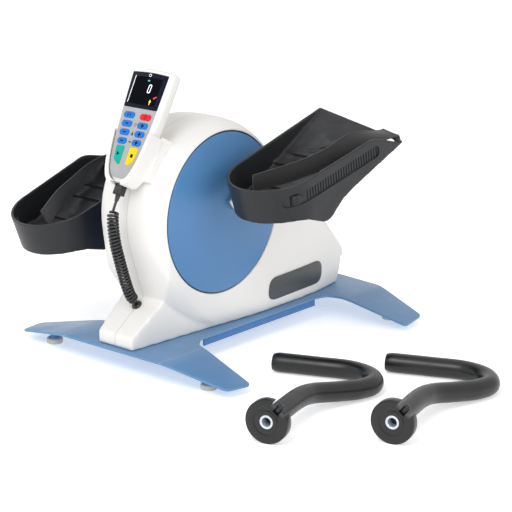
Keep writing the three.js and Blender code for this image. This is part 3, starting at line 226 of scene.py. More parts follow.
def smooth_route(points, steps):
    """Places along a smooth curve through the points, with the same count of steps between each two."""
    points = [Vector(p) for p in points]
    padded_points = [points[0] * 2 - points[1], *points, points[-1] * 2 - points[-2]]
    route = []
    for a, b, c, d in zip(padded_points, padded_points[1:], padded_points[2:], padded_points[3:]):
        before, here, after = [max((q - p).length, TINY) ** 0.5 for p, q in ((a, b), (b, c), (c, d))]
        leave = (b - a) / before - (c - a) / (before + here) + (c - b) / here
        arrive = (c - b) / here - (d - b) / (here + after) + (d - c) / after
        leave, arrive = leave * here, arrive * here
        for k in range(steps):
            t = k / steps
            bend = (b - c) * 3
            route.append(b + leave * t - (bend + leave * 2 + arrive) * t ** 2
                         + ((b - c) * 2 + leave + arrive) * t ** 3)
    return route + [points[-1]]


def evenly(route, count):
    """The same route with its places at equal distances."""
    reach = [0.0]
    for here, there in zip(route, route[1:]):
        reach.append(reach[-1] + (there - here).length)
    even, i = [], 0
    for k in range(count + 1):
        goal = reach[-1] * k / count
        while i + 2 < len(reach) and reach[i + 1] < goal:
            i += 1
        share = (goal - reach[i]) / max(reach[i + 1] - reach[i], TINY)
        even.append(route[i].lerp(route[i + 1], share))
    return even


def tube(route, radii, sides=24):
    """A round body along a route, with a radius for each place."""
    rings = []
    side = Vector((0, 0, 1))
    for i, place in enumerate(route):
        along = (route[min(i + 1, len(route) - 1)] - route[max(i - 1, 0)]).normalized()
        side = (side - along * side.dot(along)).normalized()
        other = along.cross(side)
        angles = [2 * math.pi * k / sides for k in range(sides)]
        rings.append([place + (side * math.cos(a) + other * math.sin(a)) * radii[i] for a in angles])
    return skinned(rings)


# %% [markdown]
# ## Cutting, joining and softening
# Moulded plastic has no sharp corners, and where two forms meet there is a small fillet. Rounding each
# edge by hand would take long on such blended forms. Here the rough solids are joined, rebuilt as an
# even mesh with the Remesh modifier, and relaxed with Smooth, which rounds edges and fills corners in
# one go. Crisp features, such as the disc pockets, are cut afterwards so that they stay crisp.

# %% Modifiers that are applied at once
def evaluated(mesh, *steps):
    """The mesh with modifiers applied. Each step is a modifier's type and its settings."""
    holder = bpy.data.objects.new("holder", mesh)
    scene.collection.objects.link(holder)
    for kind, settings in steps:
        modifier = holder.modifiers.new("step", kind)
        for key, value in settings.items():
            setattr(modifier, key, value)
    result = bpy.data.meshes.new_from_object(holder.evaluated_get(bpy.context.evaluated_depsgraph_get()))
    bpy.data.objects.remove(holder)
    return result


def combined(first, second, operation):
    tool = bpy.data.objects.new("tool", second)
    scene.collection.objects.link(tool)
    result = evaluated(first, ("BOOLEAN", {"object": tool, "operation": operation, "solver": "MANIFOLD"}))
    bpy.data.objects.remove(tool)
    if not result.polygons:
        raise ValueError("nothing is left after " + operation)
    return result


def joined(first, *others):
    for other in others:
        first = combined(first, other, "UNION")
    return first


def cut(first, *others):
    for other in others:
        first = combined(first, other, "DIFFERENCE")
    return first


def common(first, *others):
    for other in others:
        first = combined(first, other, "INTERSECT")
    return first


RELAXING = 0.5


def melted(mesh, voxel, rounds):
    """An even mesh with its edges rounded and its corners filled."""
    return evaluated(mesh, ("REMESH", {"mode": "VOXEL", "voxel_size": voxel}),
                     ("SMOOTH", {"factor": RELAXING, "iterations": rounds}))


SAME_CORNER, NEARLY_FLAT = 1e-3, math.radians(0.5)


def bevelled(mesh, width, segments=3, angle=30):
    """The mesh with each edge sharper than the angle rounded to the width."""
    work = bmesh.new()
    work.from_mesh(mesh)
    bmesh.ops.remove_doubles(work, verts=work.verts, dist=SAME_CORNER)
    bmesh.ops.dissolve_limit(work, angle_limit=NEARLY_FLAT, verts=work.verts, edges=work.edges)
    flat = bpy.data.meshes.new("flat")
    work.to_mesh(flat)
    work.free()
    return evaluated(flat, ("BEVEL", {"width": width, "segments": segments, "limit_method": "ANGLE",
                                      "angle_limit": math.radians(angle), "miter_outer": "MITER_ARC"}))


# %% Pieces
def piece(name, mesh, look, body, replaces=(), sharp=38):
    """Turns a mesh into a named piece in metres, with its finish and the body it rides on."""
    mesh.transform(Matrix.Scale(MM, 4))
    mesh.shade_smooth()
    mesh.set_sharp_from_angle(angle=math.radians(sharp))
    mesh.materials.clear()
    mesh.materials.append(look)
    made = bpy.data.objects.new(name, mesh)
    scene.collection.objects.link(made)
    if body:
        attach(made, body)
    if replaces:
        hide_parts(*replaces)
    print(name, len(mesh.polygons), "faces")
    return made


# %% [markdown]
# ## Light, floor and background
# The photograph is a bright studio picture on white. A world that is plain white to the camera and a
# little dimmer as a light gives soft light from all sides, and one large lamp from above and in front
# gives the object its form. The floor is white and glows a little, so that it melts into the
# background and still keeps the soft shadow that shows where the feet stand.

# %% World, lamps and floor
def put(tree, kind, inputs=None, **settings):
    """Adds a shader node. An input is a plain value or a socket to link from."""
    made = tree.nodes.new("ShaderNode" + kind)
    for key, value in settings.items():
        setattr(made, key, value)
    for key, value in (inputs or {}).items():
        if isinstance(value, bpy.types.NodeSocket):
            tree.links.new(value, made.inputs[key])
        else:
            made.inputs[key].default_value = value
    return made


def linear(red, green, blue):
    """A colour as it looks on screen, 0 to 255 a channel, in the linear form that nodes use."""
    channels = []
    for value in (red / 255, green / 255, blue / 255):
        channels.append(value / 12.92 if value <= 0.04045 else ((value + 0.055) / 1.055) ** 2.4)
    return (*channels, 1.0)


def new_look(name):
    """A new material, its node tree and its main shader."""
    look = bpy.data.materials.new(name)
    look.use_nodes = True
    return look, look.node_tree, look.node_tree.nodes["Principled BSDF"]


def set_inputs(shader, values):
    for label, value in values.items():
        shader.inputs[label].default_value = value


WHITE = (1, 1, 1, 1)
WORLD_LIGHT = 0.62


def add_world():
    world = bpy.data.worlds.new("studio")
    world.use_nodes = True
    tree = world.node_tree
    tree.nodes.clear()
    rays = put(tree, "LightPath").outputs
    seen = put(tree, "Math", {0: rays["Is Camera Ray"], 1: rays["Is Glossy Ray"]}, operation="MAXIMUM")
    level = put(tree, "MapRange", {"Value": seen.outputs[0], "To Min": WORLD_LIGHT, "To Max": 1.0})
    back = put(tree, "Background", {"Color": WHITE, "Strength": level.outputs["Result"]})
    tree.links.new(back.outputs[0], put(tree, "OutputWorld").inputs["Surface"])
    scene.world = world


def add_lamp(name, place, target, size, watts):
    data = bpy.data.lights.new(name, "AREA")
    data.shape = "DISK"
    data.size = size
    data.energy = watts
    lamp = bpy.data.objects.new(name, data)
    away = Vector(target) - Vector(place)
    lamp.matrix_world = Matrix.Translation(place) @ away.to_track_quat("-Z", "Y").to_matrix().to_4x4()
    scene.collection.objects.link(lamp)


FLOOR_Z = -34.0
FLOOR_HALF, FLOOR_GLOW, FLOOR_COLOUR = 12.0, 0.42, (250, 250, 250)


def add_floor():
    half, height = FLOOR_HALF, FLOOR_Z * MM
    corners = [(-half, -half, height), (half, -half, height), (half, half, height), (-half, half, height)]
    mesh = bpy.data.meshes.new("floor")
    mesh.from_pydata(corners, [], [(0, 1, 2, 3)])
    look, _, shader = new_look("pale_floor")
    set_inputs(shader, {"Base Color": linear(*FLOOR_COLOUR), "Roughness": 0.9, "Specular IOR Level": 0.1,
                        "Emission Color": WHITE, "Emission Strength": FLOOR_GLOW})
    mesh.materials.append(look)
    floor = bpy.data.objects.new("floor", mesh)
    scene.collection.objects.link(floor)


add_world()
add_lamp("key_lamp", place=(0.6, -2.2, 2.6), target=(0.05, 0.0, 0.2), size=1.8, watts=38)
add_lamp("right_lamp", place=(2.7, -0.8, 1.2), target=(0.0, 0.0, 0.2), size=1.8, watts=24)
add_lamp("left_lamp", place=(-2.2, -1.0, 1.6), target=(0.0, 0.0, 0.2), size=1.4, watts=10)
add_floor()
scene.view_settings.view_transform = "Standard"

# %% [markdown]
# ## Effects that several finishes share
# Grain, rubbed edges and the slight unevenness of a used surface come back on most pieces. On the black
# shells the lighter edges are a painted highlight along the rims. Each is a node group with its own inputs,
# so that a finish can ask for a little or a lot of it. The other way, to copy the same nodes into each
# material, would be longer and harder to keep alike.

# %% A node group from its sockets and its nodes
def effect(name, inputs, outputs, build):
    """A shader node group. Inputs are (name, kind, default); build links its nodes and sets the outputs."""
    tree = bpy.data.node_groups.new(name, "ShaderNodeTree")
    kinds = {"value": "NodeSocketFloat", "vector": "NodeSocketVector", "colour": "NodeSocketColor"}
    for label, kind, default in inputs:
        socket = tree.interface.new_socket(label, in_out="INPUT", socket_type=kinds[kind])
        if default is not None:
            socket.default_value = default
    for label, kind in outputs:
        tree.interface.new_socket(label, in_out="OUTPUT", socket_type=kinds[kind])
    given = tree.nodes.new("NodeGroupInput").outputs
    results = build(tree, given)
    end = tree.nodes.new("NodeGroupOutput")
    for (label, _), socket in zip(outputs, results):
        tree.links.new(socket, end.inputs[label])
    return tree


def fine_grain(tree, given):
    """Moulded grain: small cells with a finer noise on them."""
    cells = put(tree, "TexVoronoi", {"Vector": given["Vector"], "Scale": given["Scale"]}, feature="SMOOTH_F1")
    fine = put(tree, "TexNoise", {"Vector": given["Vector"], "Scale": given["Scale"], "Detail": 2.0})
    mixed = put(tree, "Mix", {"Factor": 0.45, "A": cells.outputs["Distance"], "B": fine.outputs["Fac"]})
    return [mixed.outputs["Result"]]


def uneven_tone(tree, given):
    """Slow changes of tone over a surface, with a few soft smudges where hands and shoes have been."""
    slow = put(tree, "TexNoise", {"Vector": given["Vector"], "Scale": given["Scale"], "Detail": 3.0})
    tone = put(tree, "MapRange", {"Value": slow.outputs["Fac"], "From Min": 0.3, "From Max": 0.7})
    smudge = put(tree, "TexNoise", {"Vector": given["Vector"], "Scale": given["Smudge Scale"], "Detail": 6.0,
                                    "Roughness": 0.65, "Distortion": 0.6})
    spots = put(tree, "MapRange", {"Value": smudge.outputs["Fac"], "From Min": 0.52, "From Max": 0.72})
    return [tone.outputs["Result"], spots.outputs["Result"]]


def rubbed_and_highlit_edges(tree, given):
    """Where edges stick out and get rubbed, broken up by noise. On the black shells this is a painted
    highlight.
    """
    point = put(tree, "NewGeometry").outputs["Pointiness"]
    sharp = put(tree, "MapRange", {"Value": point, "From Min": given["Start"], "From Max": given["Full"]})
    patch = put(tree, "TexNoise", {"Vector": given["Vector"], "Scale": 60.0, "Detail": 4.0})
    broken = put(tree, "MapRange", {"Value": patch.outputs["Fac"], "From Min": 0.35, "From Max": 0.6})
    both = put(tree, "Math", {0: sharp.outputs["Result"], 1: broken.outputs["Result"]}, operation="MULTIPLY")
    return [both.outputs[0]]


def settled_dust(tree, given):
    """Thin dust on faces that look up."""
    normal = put(tree, "SeparateXYZ", {0: put(tree, "NewGeometry").outputs["Normal"]})
    up = put(tree, "MapRange", {"Value": normal.outputs["Z"], "From Min": 0.55, "From Max": 1.0})
    fleck = put(tree, "TexNoise", {"Vector": given["Vector"], "Scale": 35.0, "Detail": 8.0})
    thin = put(tree, "MapRange", {"Value": fleck.outputs["Fac"], "From Min": 0.4, "From Max": 0.75})
    both = put(tree, "Math", {0: up.outputs["Result"], 1: thin.outputs["Result"]}, operation="MULTIPLY")
    return [both.outputs[0]]


def brushed_lines(tree, given):
    """Long fine scratches along one direction."""
    long = put(tree, "VectorMath", {0: given["Vector"], 1: given["Stretch"]}, operation="MULTIPLY")
    lines = put(tree, "TexNoise", {"Vector": long.outputs[0], "Scale": 900.0, "Detail": 3.0,
                                   "Roughness": 0.7})
    return [lines.outputs["Fac"]]


def woven_band(tree, given):
    """Plain weave in band coordinates: threads over and under each other, in millimetres."""
    parts = put(tree, "SeparateXYZ", {0: given["Band"]})
    waves = []
    for label in ("X", "Y"):
        turn = put(tree, "Math", {0: parts.outputs[label], 1: given["Threads"]}, operation="MULTIPLY")
        waves.append(put(tree, "Math", {0: turn.outputs[0]}, operation="SINE").outputs[0])
    cross = put(tree, "Math", {0: waves[0], 1: waves[1]}, operation="MULTIPLY")
    height = put(tree, "MapRange", {"Value": cross.outputs[0], "From Min": -1.0, "From Max": 1.0})
    fuzz = put(tree, "TexNoise", {"Vector": given["Band"], "Scale": 2.4, "Detail": 5.0, "Roughness": 0.7})
    mixed = put(tree, "Mix", {"Factor": 0.35, "A": height.outputs["Result"], "B": fuzz.outputs["Fac"]})
    return [mixed.outputs["Result"], fuzz.outputs["Fac"]]


# %% The shared groups
PLACE_INPUT = ("Vector", "vector", None)
MASK_OUTPUT = ("Mask", "value")
GRAIN = effect("fine_grain", [PLACE_INPUT, ("Scale", "value", 1500.0)], [("Height", "value")], fine_grain)
TONE = effect("uneven_tone", [PLACE_INPUT, ("Scale", "value", 6.0), ("Smudge Scale", "value", 14.0)],
              [("Tone", "value"), ("Smudge", "value")], uneven_tone)
RUBBED_AND_HIGHLIT = effect("rubbed_and_highlit_edges", [PLACE_INPUT, ("Start", "value", 0.54), ("Full", "value", 0.62)],
                [MASK_OUTPUT], rubbed_and_highlit_edges)
DUST = effect("settled_dust", [PLACE_INPUT], [MASK_OUTPUT], settled_dust)
BRUSHED = effect("brushed_lines", [PLACE_INPUT, ("Stretch", "vector", (1.0, 0.02, 1.0))],
                 [("Lines", "value")], brushed_lines)
WEAVE = effect("woven_band", [("Band", "vector", None), ("Threads", "value", 2.6)],
               [("Height", "value"), ("Fuzz", "value")], woven_band)
print("shared effects", len(bpy.data.node_groups))

# %% [markdown]
# ## Finishes
# Each finish is one material: a Principled shader whose colour, roughness and bump come from the shared
# groups. The plastics differ only in colour, grain and gloss, so one function makes them all. Plain
# numbers that are the same all over are set on the shader itself.

# %% Plastic, paint, metal and rubber
def use(tree, group, **inputs):
    made = tree.nodes.new("ShaderNodeGroup")
    made.node_tree = group
    for key, value in inputs.items():
        key = key.replace("_", " ")
        if isinstance(value, bpy.types.NodeSocket):
            tree.links.new(value, made.inputs[key])
        else:
            made.inputs[key].default_value = value
    return made.outputs


def blended(tree, factor, first, second, strength=1.0):
    """A colour between two, by a mask that is scaled by a strength."""
    share = put(tree, "Math", {0: factor, 1: strength}, operation="MULTIPLY")
    mix = put(tree, "Mix", {0: share.outputs[0], 6: first, 7: second}, data_type="RGBA")
    return mix.outputs[2]


def bumped(tree, shader, height, depth):
    """Links a height to the shader's bump. The depth is in millimetres."""
    bump = put(tree, "Bump", {"Strength": 1.0, "Distance": depth * MM, "Height": height})
    tree.links.new(bump.outputs["Normal"], shader.inputs["Normal"])


def roughened(tree, shader, mask, low, high):
    rough = put(tree, "MapRange", {"Value": mask, "To Min": low, "To Max": high})
    tree.links.new(rough.outputs["Result"], shader.inputs["Roughness"])


DEEPER_SHARE, RUBBED_LIGHTER, COAT_ROUGHNESS = 0.8, 60, 0.12
DUST_COLOUR = (190, 188, 182)
BRUSHED_ALONG = (1, 0.02, 1)


def finish(name, colour, roughness, grain=1500.0, depth=0.03, tone=0.25, smudge=0.12, rub_and_highlight=0.3,
           rub_and_highlight_colour=None, dust=0.0, specular=0.5, metallic=0.0, coat=0.0, stretch=None):
    """A surface with grain, uneven tone, lighter edges that can carry a painted highlight and, where asked,
    dust, a clear coat or brushing.
    """
    look, tree, shader = new_look(name)
    here = put(tree, "TexCoord").outputs["Object"]
    changes = use(tree, TONE, Vector=here)
    base = linear(*colour)
    darker = (*[channel * DEEPER_SHARE for channel in base[:3]], 1.0)
    paint = blended(tree, changes["Tone"], base, darker, tone)
    # Edges take a lighter colour: rubbed wear, and on the black shells a painted highlight.
    rubbed_and_highlit = linear(*(rub_and_highlight_colour or [min(255, channel + RUBBED_LIGHTER) for channel in colour]))
    paint = blended(tree, use(tree, RUBBED_AND_HIGHLIT, Vector=here)["Mask"], paint, rubbed_and_highlit, rub_and_highlight)
    if dust:
        paint = blended(tree, use(tree, DUST, Vector=here)["Mask"], paint, linear(*DUST_COLOUR), dust)
    tree.links.new(paint, shader.inputs["Base Color"])
    roughened(tree, shader, changes["Smudge"], roughness, min(1.0, roughness + smudge))
    if stretch:
        height = use(tree, BRUSHED, Vector=here, Stretch=stretch)["Lines"]
    else:
        height = use(tree, GRAIN, Vector=here, Scale=grain)["Height"]
    bumped(tree, shader, height, depth)
    set_inputs(shader, {"Metallic": metallic, "Specular IOR Level": specular, "Coat Weight": coat,
                        "Coat Roughness": COAT_ROUGHNESS})
    return look


# %% Finishes of the machine
OFF_WHITE = finish("off_white_moulding", (232, 230, 227), 0.42, grain=1800, depth=0.015, tone=0.12, rub_and_highlight=0.1)
DISC_BLUE = finish("disc_blue", (76, 126, 176), 0.42, grain=1600, depth=0.01, tone=0.04, smudge=0.05, rub_and_highlight=0.0)
SHEET_BLUE = finish("sheet_blue_powder_coat", (90, 134, 178), 0.38, grain=420, depth=0.04, tone=0.08, rub_and_highlight=0.2,
                    dust=0.08, coat=0.15)
# A darker copy of the sheet's blue powder coat: painted shade for the flanges and leg bosses under the sheet.
SHADED_SHEET_BLUE = finish("sheet_blue_painted_shade", (50, 105, 165), 0.38, grain=420, depth=0.05, tone=0.2,
                     rub_and_highlight=0.4)
# The shells' blue-grey edge colour is a painted highlight along their rims.
SHELL_BLACK = finish("shell_black_moulding", (34, 35, 38), 0.42, specular=0.35, grain=900, depth=0.04,
                     rub_and_highlight=0.4, rub_and_highlight_colour=(120, 128, 135), dust=0.05)
GRIP_BLACK = finish("grip_black_foam", (14, 15, 16), 0.3, grain=700, depth=0.04, tone=0.3, rub_and_highlight=0.1)
CORD_BLACK = finish("cord_black", (14, 15, 17), 0.36, depth=0.02, tone=0.2, rub_and_highlight=0.1, specular=0.6)
BADGE_GREY = finish("badge_grey", (64, 67, 69), 0.4, depth=0.02, tone=0.2)
PAD_RUBBER = finish("pad_rubber", (205, 203, 197), 0.72, grain=900, depth=0.06, tone=0.35, dust=0.1)
STEEL = finish("turned_steel", (196, 198, 200), 0.3, depth=0.01, rub_and_highlight=0.0, metallic=1.0, stretch=BRUSHED_ALONG)
DULL_METAL = finish("dull_metal", (92, 95, 98), 0.45, grain=600, depth=0.04, tone=0.3, metallic=0.7)
BOARD_GREEN = finish("board_green", (29, 91, 52), 0.4, grain=700, depth=0.02)


# %% Finishes of the handset and the grips' bushings
def key_finish(name, colour):
    return finish(name, colour, 0.5, specular=0.2, grain=2200, depth=0.012, tone=0.1, rub_and_highlight=0.15)


KEYPAD_GREY = finish("keypad_film", (163, 164, 165), 0.5, grain=2200, depth=0.012, tone=0.1, rub_and_highlight=0.1)
KEY_BLUE = key_finish("key_blue", (20, 114, 206))
KEY_RED = key_finish("key_red", (222, 26, 38))
KEY_GREEN = key_finish("key_green", (0, 166, 148))
KEY_YELLOW = key_finish("key_yellow", (252, 208, 0))
PRINT_BLACK = finish("print_black", (8, 8, 10), 0.6, specular=0.1, grain=2600, depth=0.006, tone=0.1, rub_and_highlight=0.0)
BUSHING = finish("bushing_white", (206, 214, 222), 0.3, depth=0.01, tone=0.2, rub_and_highlight=0.0, metallic=0.5,
                 stretch=BRUSHED_ALONG)
SCREEN_FRAME = finish("window_frame_print", (22, 27, 42), 0.3, depth=0.004, tone=0.05, rub_and_highlight=0.0, specular=0.05)
SCREEN_DARK = finish("window_screen", (5, 5, 14), 0.25, depth=0.004, tone=0.05, rub_and_highlight=0.0, specular=0.02)


# %% Lit marks and woven straps
def lit(name, colour, strength):
    """A mark on the display that shines by itself."""
    look, _, shader = new_look(name)
    set_inputs(shader, {"Base Color": linear(*colour), "Roughness": 0.3, "Emission Color": linear(*colour),
                        "Emission Strength": strength})
    return look


WEAVE_DEPTH, FUZZ_SHARE = 0.25, 0.8


def woven(name, colour, fuzz_colour):
    look, tree, shader = new_look(name)
    band = put(tree, "UVMap", uv_map="band").outputs["UV"]
    weave = use(tree, WEAVE, Band=band)
    paint = blended(tree, weave["Fuzz"], linear(*colour), linear(*fuzz_colour), FUZZ_SHARE)
    tree.links.new(paint, shader.inputs["Base Color"])
    roughened(tree, shader, weave["Height"], 0.95, 0.8)
    bumped(tree, shader, weave["Height"], WEAVE_DEPTH)
    set_inputs(shader, {"Sheen Weight": 0.25, "Sheen Roughness": 0.5})
    return look


STRAP_BLACK = woven("strap_black_weave", (24, 24, 26), (52, 52, 54))
MARK_WHITE = lit("mark_white", (235, 240, 240), 0.6)
MARK_RED = lit("mark_red", (225, 40, 40), 0.6)
MARK_YELLOW = lit("mark_yellow", (245, 225, 20), 0.6)
MARK_GREEN = lit("mark_green", (70, 160, 150), 0.5)
print("finishes", len(bpy.data.materials))

# %% [markdown]
# ## The curly cord
# The cord leaves a gland on the nose, coils up past the drum and ends in the handset's plug. It could
# be a curve with a bevel, but it has to stretch when the handset is lifted, and only a mesh can bend
# between two bodies, so the coil is a tube skinned along its own points. Both ends are straight, and
# the first and last turn open out slowly. All 29 turns follow the drawing's route.

# %% The handset's and the gland's own frames
def turned_about_x(place, degrees):
    return Matrix.Translation(place) @ Matrix.Rotation(math.radians(degrees), 4, "X")


HANDSET = turned_about_x((0, -115.4, 375.6), -27.3)
HANDSET_TOP, HANDSET_BOTTOM, HANDSET_HALF, HANDSET_DEPTH = 64.5, 120.5, 42.5, 24.5
PLUG_HEIGHT, PLUG_DEEP, RELIEF_LENGTH = 17.0, 13.0, 10.0
NOSE_FRONT, NOSE_BROW, NOSE_TOP_Y, NOSE_TOP_Z = 179.9, 24.4, 114.9, 71.0
NOSE_SLOPE = math.atan2(NOSE_TOP_Z - NOSE_BROW, NOSE_FRONT - NOSE_TOP_Y)
GLAND_SHARE = 0.78
gland_run = (NOSE_FRONT - NOSE_TOP_Y) * GLAND_SHARE
gland_place = (0, gland_run - NOSE_FRONT, NOSE_BROW + gland_run * math.tan(NOSE_SLOPE))
GLAND = turned_about_x(gland_place, math.degrees(NOSE_SLOPE))
GLAND_HEIGHT = 5.0
SEAT_GAP = 0.3

# %% The cord's centre line
CURL_RADIUS, CURL_WIRE, PLUG_LEAD, GLAND_LEAD = 7.35, 2.2, 15.0, 5.4
CURL_COUNT, CURL_STEPS, ROUTE_STEPS = 29, 20, 60
LEAD_SHARES = (0.35, 0.7)
CURL_ROUTE = [(0, -179.5, 206), (0, -176, 176), (0, -166.5, 142), (0, -153.5, 103), (0, -144.5, 82)]


def curl_line():
    plug_foot = -HANDSET_BOTTOM - PLUG_HEIGHT - RELIEF_LENGTH - 2 * SEAT_GAP
    plug_end = HANDSET @ Vector((0, PLUG_DEEP, plug_foot))
    plug_away = HANDSET @ Vector((0, PLUG_DEEP, plug_foot - PLUG_LEAD))
    gland_end = GLAND @ Vector((0, 0, GLAND_HEIGHT + SEAT_GAP))
    gland_away = GLAND @ Vector((0, 0, GLAND_HEIGHT + SEAT_GAP + GLAND_LEAD))
    count = CURL_COUNT * CURL_STEPS
    route = evenly(smooth_route([plug_away, *CURL_ROUTE, gland_away], ROUTE_STEPS), count)
    line = [plug_end] + [plug_end.lerp(plug_away, share) for share in LEAD_SHARES]
    across = Vector((1, 0, 0))
    for i, place in enumerate(route):
        along = (route[min(i + 1, count)] - route[max(i - 1, 0)]).normalized()
        other = along.cross(across).normalized()
        turn = 2 * math.pi * i / CURL_STEPS
        ramp = min(1, i / CURL_STEPS, (count - i) / CURL_STEPS)
        reach = CURL_RADIUS * math.sin(ramp * math.pi / 2)
        line.append(place + (across * math.cos(turn) + other * math.sin(turn)) * reach)
    return line + [gland_end.lerp(gland_away, share) for share in reversed(LEAD_SHARES)] + [gland_end]


CORD_LINE = curl_line()
CORD_SIDES = 12
coil = tube(CORD_LINE, [CURL_WIRE] * len(CORD_LINE), CORD_SIDES)
cord = piece("curly_cord_coil", coil, CORD_BLACK, None, ["curly_cord"])
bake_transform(cord)

# %% [markdown]
# ## Base sheet
# One sheet of steel, cut to an outline with four legs, bent down at two fold lines and powder coated.
# A box with its corners pulled out would do for the outline, but not for the soft folds. So the flat
# outline is given many cuts across the folds, and each corner of the mesh is then lowered by how far
# out it lies. Two flanges under the waist keep it stiff, and a boss on each leg takes a foot's stud.

# %% The flat sheet
PLATE_FRONT, PLATE_REAR, PLATE_THICK = 190.0, 376.0, 4.0
FOLD_X, LEG_SLOPE, FOLD_SOFT, FOLD_CUT, FOLD_LIFT = 115.0, 0.196, 7.0, 3, 0.1
WAIST, FLANGE_DEEP, FLANGE_REACH = 74.0, 11.0, (-52, 232)
SHEET_HALF = [(FOLD_X, -PLATE_FRONT, 9), (224.1, -170.1, 9), (232, -122, 9), (93, -88, 28), (WAIST, -60, 0),
              (WAIST, 234, 0), (82, 262, 28), (238, 270, 9), (228, 329, 9), (FOLD_X, PLATE_REAR - 12, 9)]
FEET = {"front_left": (-170, -149), "front_right": (170, -149), "rear_left": (-171, 316),
        "rear_right": (171, 316)}


def lowered(x):
    """How far the sheet drops at a distance from its middle, with a soft fold."""
    beyond = abs(x) - FOLD_X
    return LEG_SLOPE * 0.5 * (beyond + math.sqrt(beyond ** 2 + FOLD_SOFT ** 2)) - LEG_SLOPE * FOLD_LIFT


def folded_sheet():
    outline = rounded(mirrored_outline(SHEET_HALF, [(0, PLATE_REAR, 0)]), steps=10)
    mesh = bevelled(prism(outline, "z", 0, PLATE_THICK), 1.1, angle=60)
    work = bmesh.new()
    work.from_mesh(mesh)
    for x in [side * (FOLD_X + step * FOLD_CUT) for side in (-1, 1) for step in range(-7, 8)]:
        everything = work.verts[:] + work.edges[:] + work.faces[:]
        bmesh.ops.bisect_plane(work, geom=everything, plane_co=(x, 0, 0), plane_no=(1, 0, 0))
    for corner in work.verts:
        corner.co.z -= lowered(corner.co.x)
    work.to_mesh(mesh)
    work.free()
    return mesh


piece("base_sheet", folded_sheet(), SHEET_BLUE, "base", ["base_plate"], sharp=50)
for side, name in SIDES:
    low, high = span(side, WAIST - PLATE_THICK, WAIST)
    strip = bevelled(block((low, FLANGE_REACH[0], -FLANGE_DEEP), (high, FLANGE_REACH[1], 0.5)), 1.0)
    # The flanges take the sheet's blue with painted shade.
    piece(f"base_flange_{name}", strip, SHADED_SHEET_BLUE, "base")

# %% [markdown]
# ## Levelling feet
# Each foot is a rubber pad with a ribbed rim on a threaded stud, which goes up into a boss under the
# leg. A screw thread could be a true helix, but at this size rings that stand out by half a millimetre
# look the same and stay a simple turned shape.

# %% Feet
FOOT_PAD, STUD_LONG, BOSS_GAP, BOSS_TOP = 10.0, 10, 1.5, 2
PAD_PROFILE = [[0, 0], [11.4, 0], [12.6, 0.5], [13.2, 1.6], [13.2, 3.4], [12.7, 3.9], [12.7, 4.5], [13.2, 5],
               [13.2, 7.6], [12.4, 8.8], [10.5, 9.7], [6.2, 10], [5.8, 10.6], [0, 10.6]]
THREAD_PITCH, THREAD_ROOT = 1.25, 3.4
THREAD_RING = [[3.5, 0.1], [4.0, 0.5], [4.0, 0.7], [3.5, 1.1]]


def raised(profile, low):
    return [[radius, low + height] for radius, height in profile]


def stud_profile(low, high):
    profile = [[0, low], [THREAD_ROOT, low]]
    rings = round((high - low) / THREAD_PITCH)
    for i in range(rings):
        profile += raised(THREAD_RING, low + (high - low) * i / rings)
    return profile + [[THREAD_ROOT, high], [0, high]]


def boss_mesh(x, y):
    low, top = FOOT_PAD + FLOOR_Z + BOSS_GAP, BOSS_TOP - lowered(x)
    profile = [[4.6, low], [7.4, low], [8, low + 0.6], [8, top], [4.6, top], [4.6, low]]
    return turned(profile, "z", x, y, sides=48)


stud_low = FLOOR_Z + FOOT_PAD
for name, (x, y) in FEET.items():
    pad = turned(raised(PAD_PROFILE, FLOOR_Z), "z", x, y)
    piece(f"foot_pad_{name}", pad, PAD_RUBBER, f"foot_{name}", [f"levelling_foot_{name}"])
    stud = turned(stud_profile(stud_low + 0.2, stud_low + STUD_LONG), "z", x, y, sides=32)
    piece(f"foot_stud_{name}", stud, STEEL, f"foot_{name}")
    # The bosses under the legs take the sheet's blue with painted shade.
    piece(f"foot_boss_{name}", boss_mesh(x, y), SHADED_SHEET_BLUE, "base")

# %% [markdown]
# ## Drum housing
# Two moulded halves meet on the middle plane. The drum is turned with a slight crown, and a tail, a
# nose and two cheeks grow out of it. The rough forms are hulls over a few measured places. Joined,
# melted and relaxed they get the soft fillets that the photograph shows. The disc pockets, the hollow
# and the seam are cut afterwards.

# %% The housing's forms
AXIS_Z = 199.0
LIP_RADIUS, DRUM_CROWN, CROWN_POWER, LIP_X = 135.0, 14.3, 3.2, 70.4
POCKET_RADIUS, POCKET_FLOOR, WALL = 132.0, 58.0, 3.5
TAIL_WALL, TAIL_HALF, TAIL_RIDGE_Y, UNDERCUT = 334.0, 48.0, 308, 52.0
TAIL_LIP_Y, TAIL_LIP_Z, TAIL_LIP_HALF, TAIL_LIP_ROUND, TAIL_ARCH = 349.0, 65.0, 40, 7, 3
TAIL_RIDGE, TAIL_SHOULDER = (36, 116), (55, 276, 115)
NOSE_HALF, NOSE_TOP_HALF, NOSE_ROOT_HALF = 36.9, 44, 51
SKIRT = [(51, -1), (56, 55.1), (59.7, 112.9), (59.5, 182), (56, 255.8), (49.5, 298.9), (43, 331)]
CHEEK_UPPER = [(67, -127, 112), (60, -82, 75), (57.5, -38, 31.4), (52, 4, 4.6)]
CHEEK_LOWER = [(45, -114, 71), (49, -80, 47.4), (50, -45, 24.5), (50.5, -12, 10)]


def mirrored_places(places):
    return [place for x, y, z in places for place in ((x, y, z), (-x, y, z))]


def crown(x, inset):
    return LIP_RADIUS + DRUM_CROWN * (1 - abs(x / LIP_X) ** CROWN_POWER) - inset


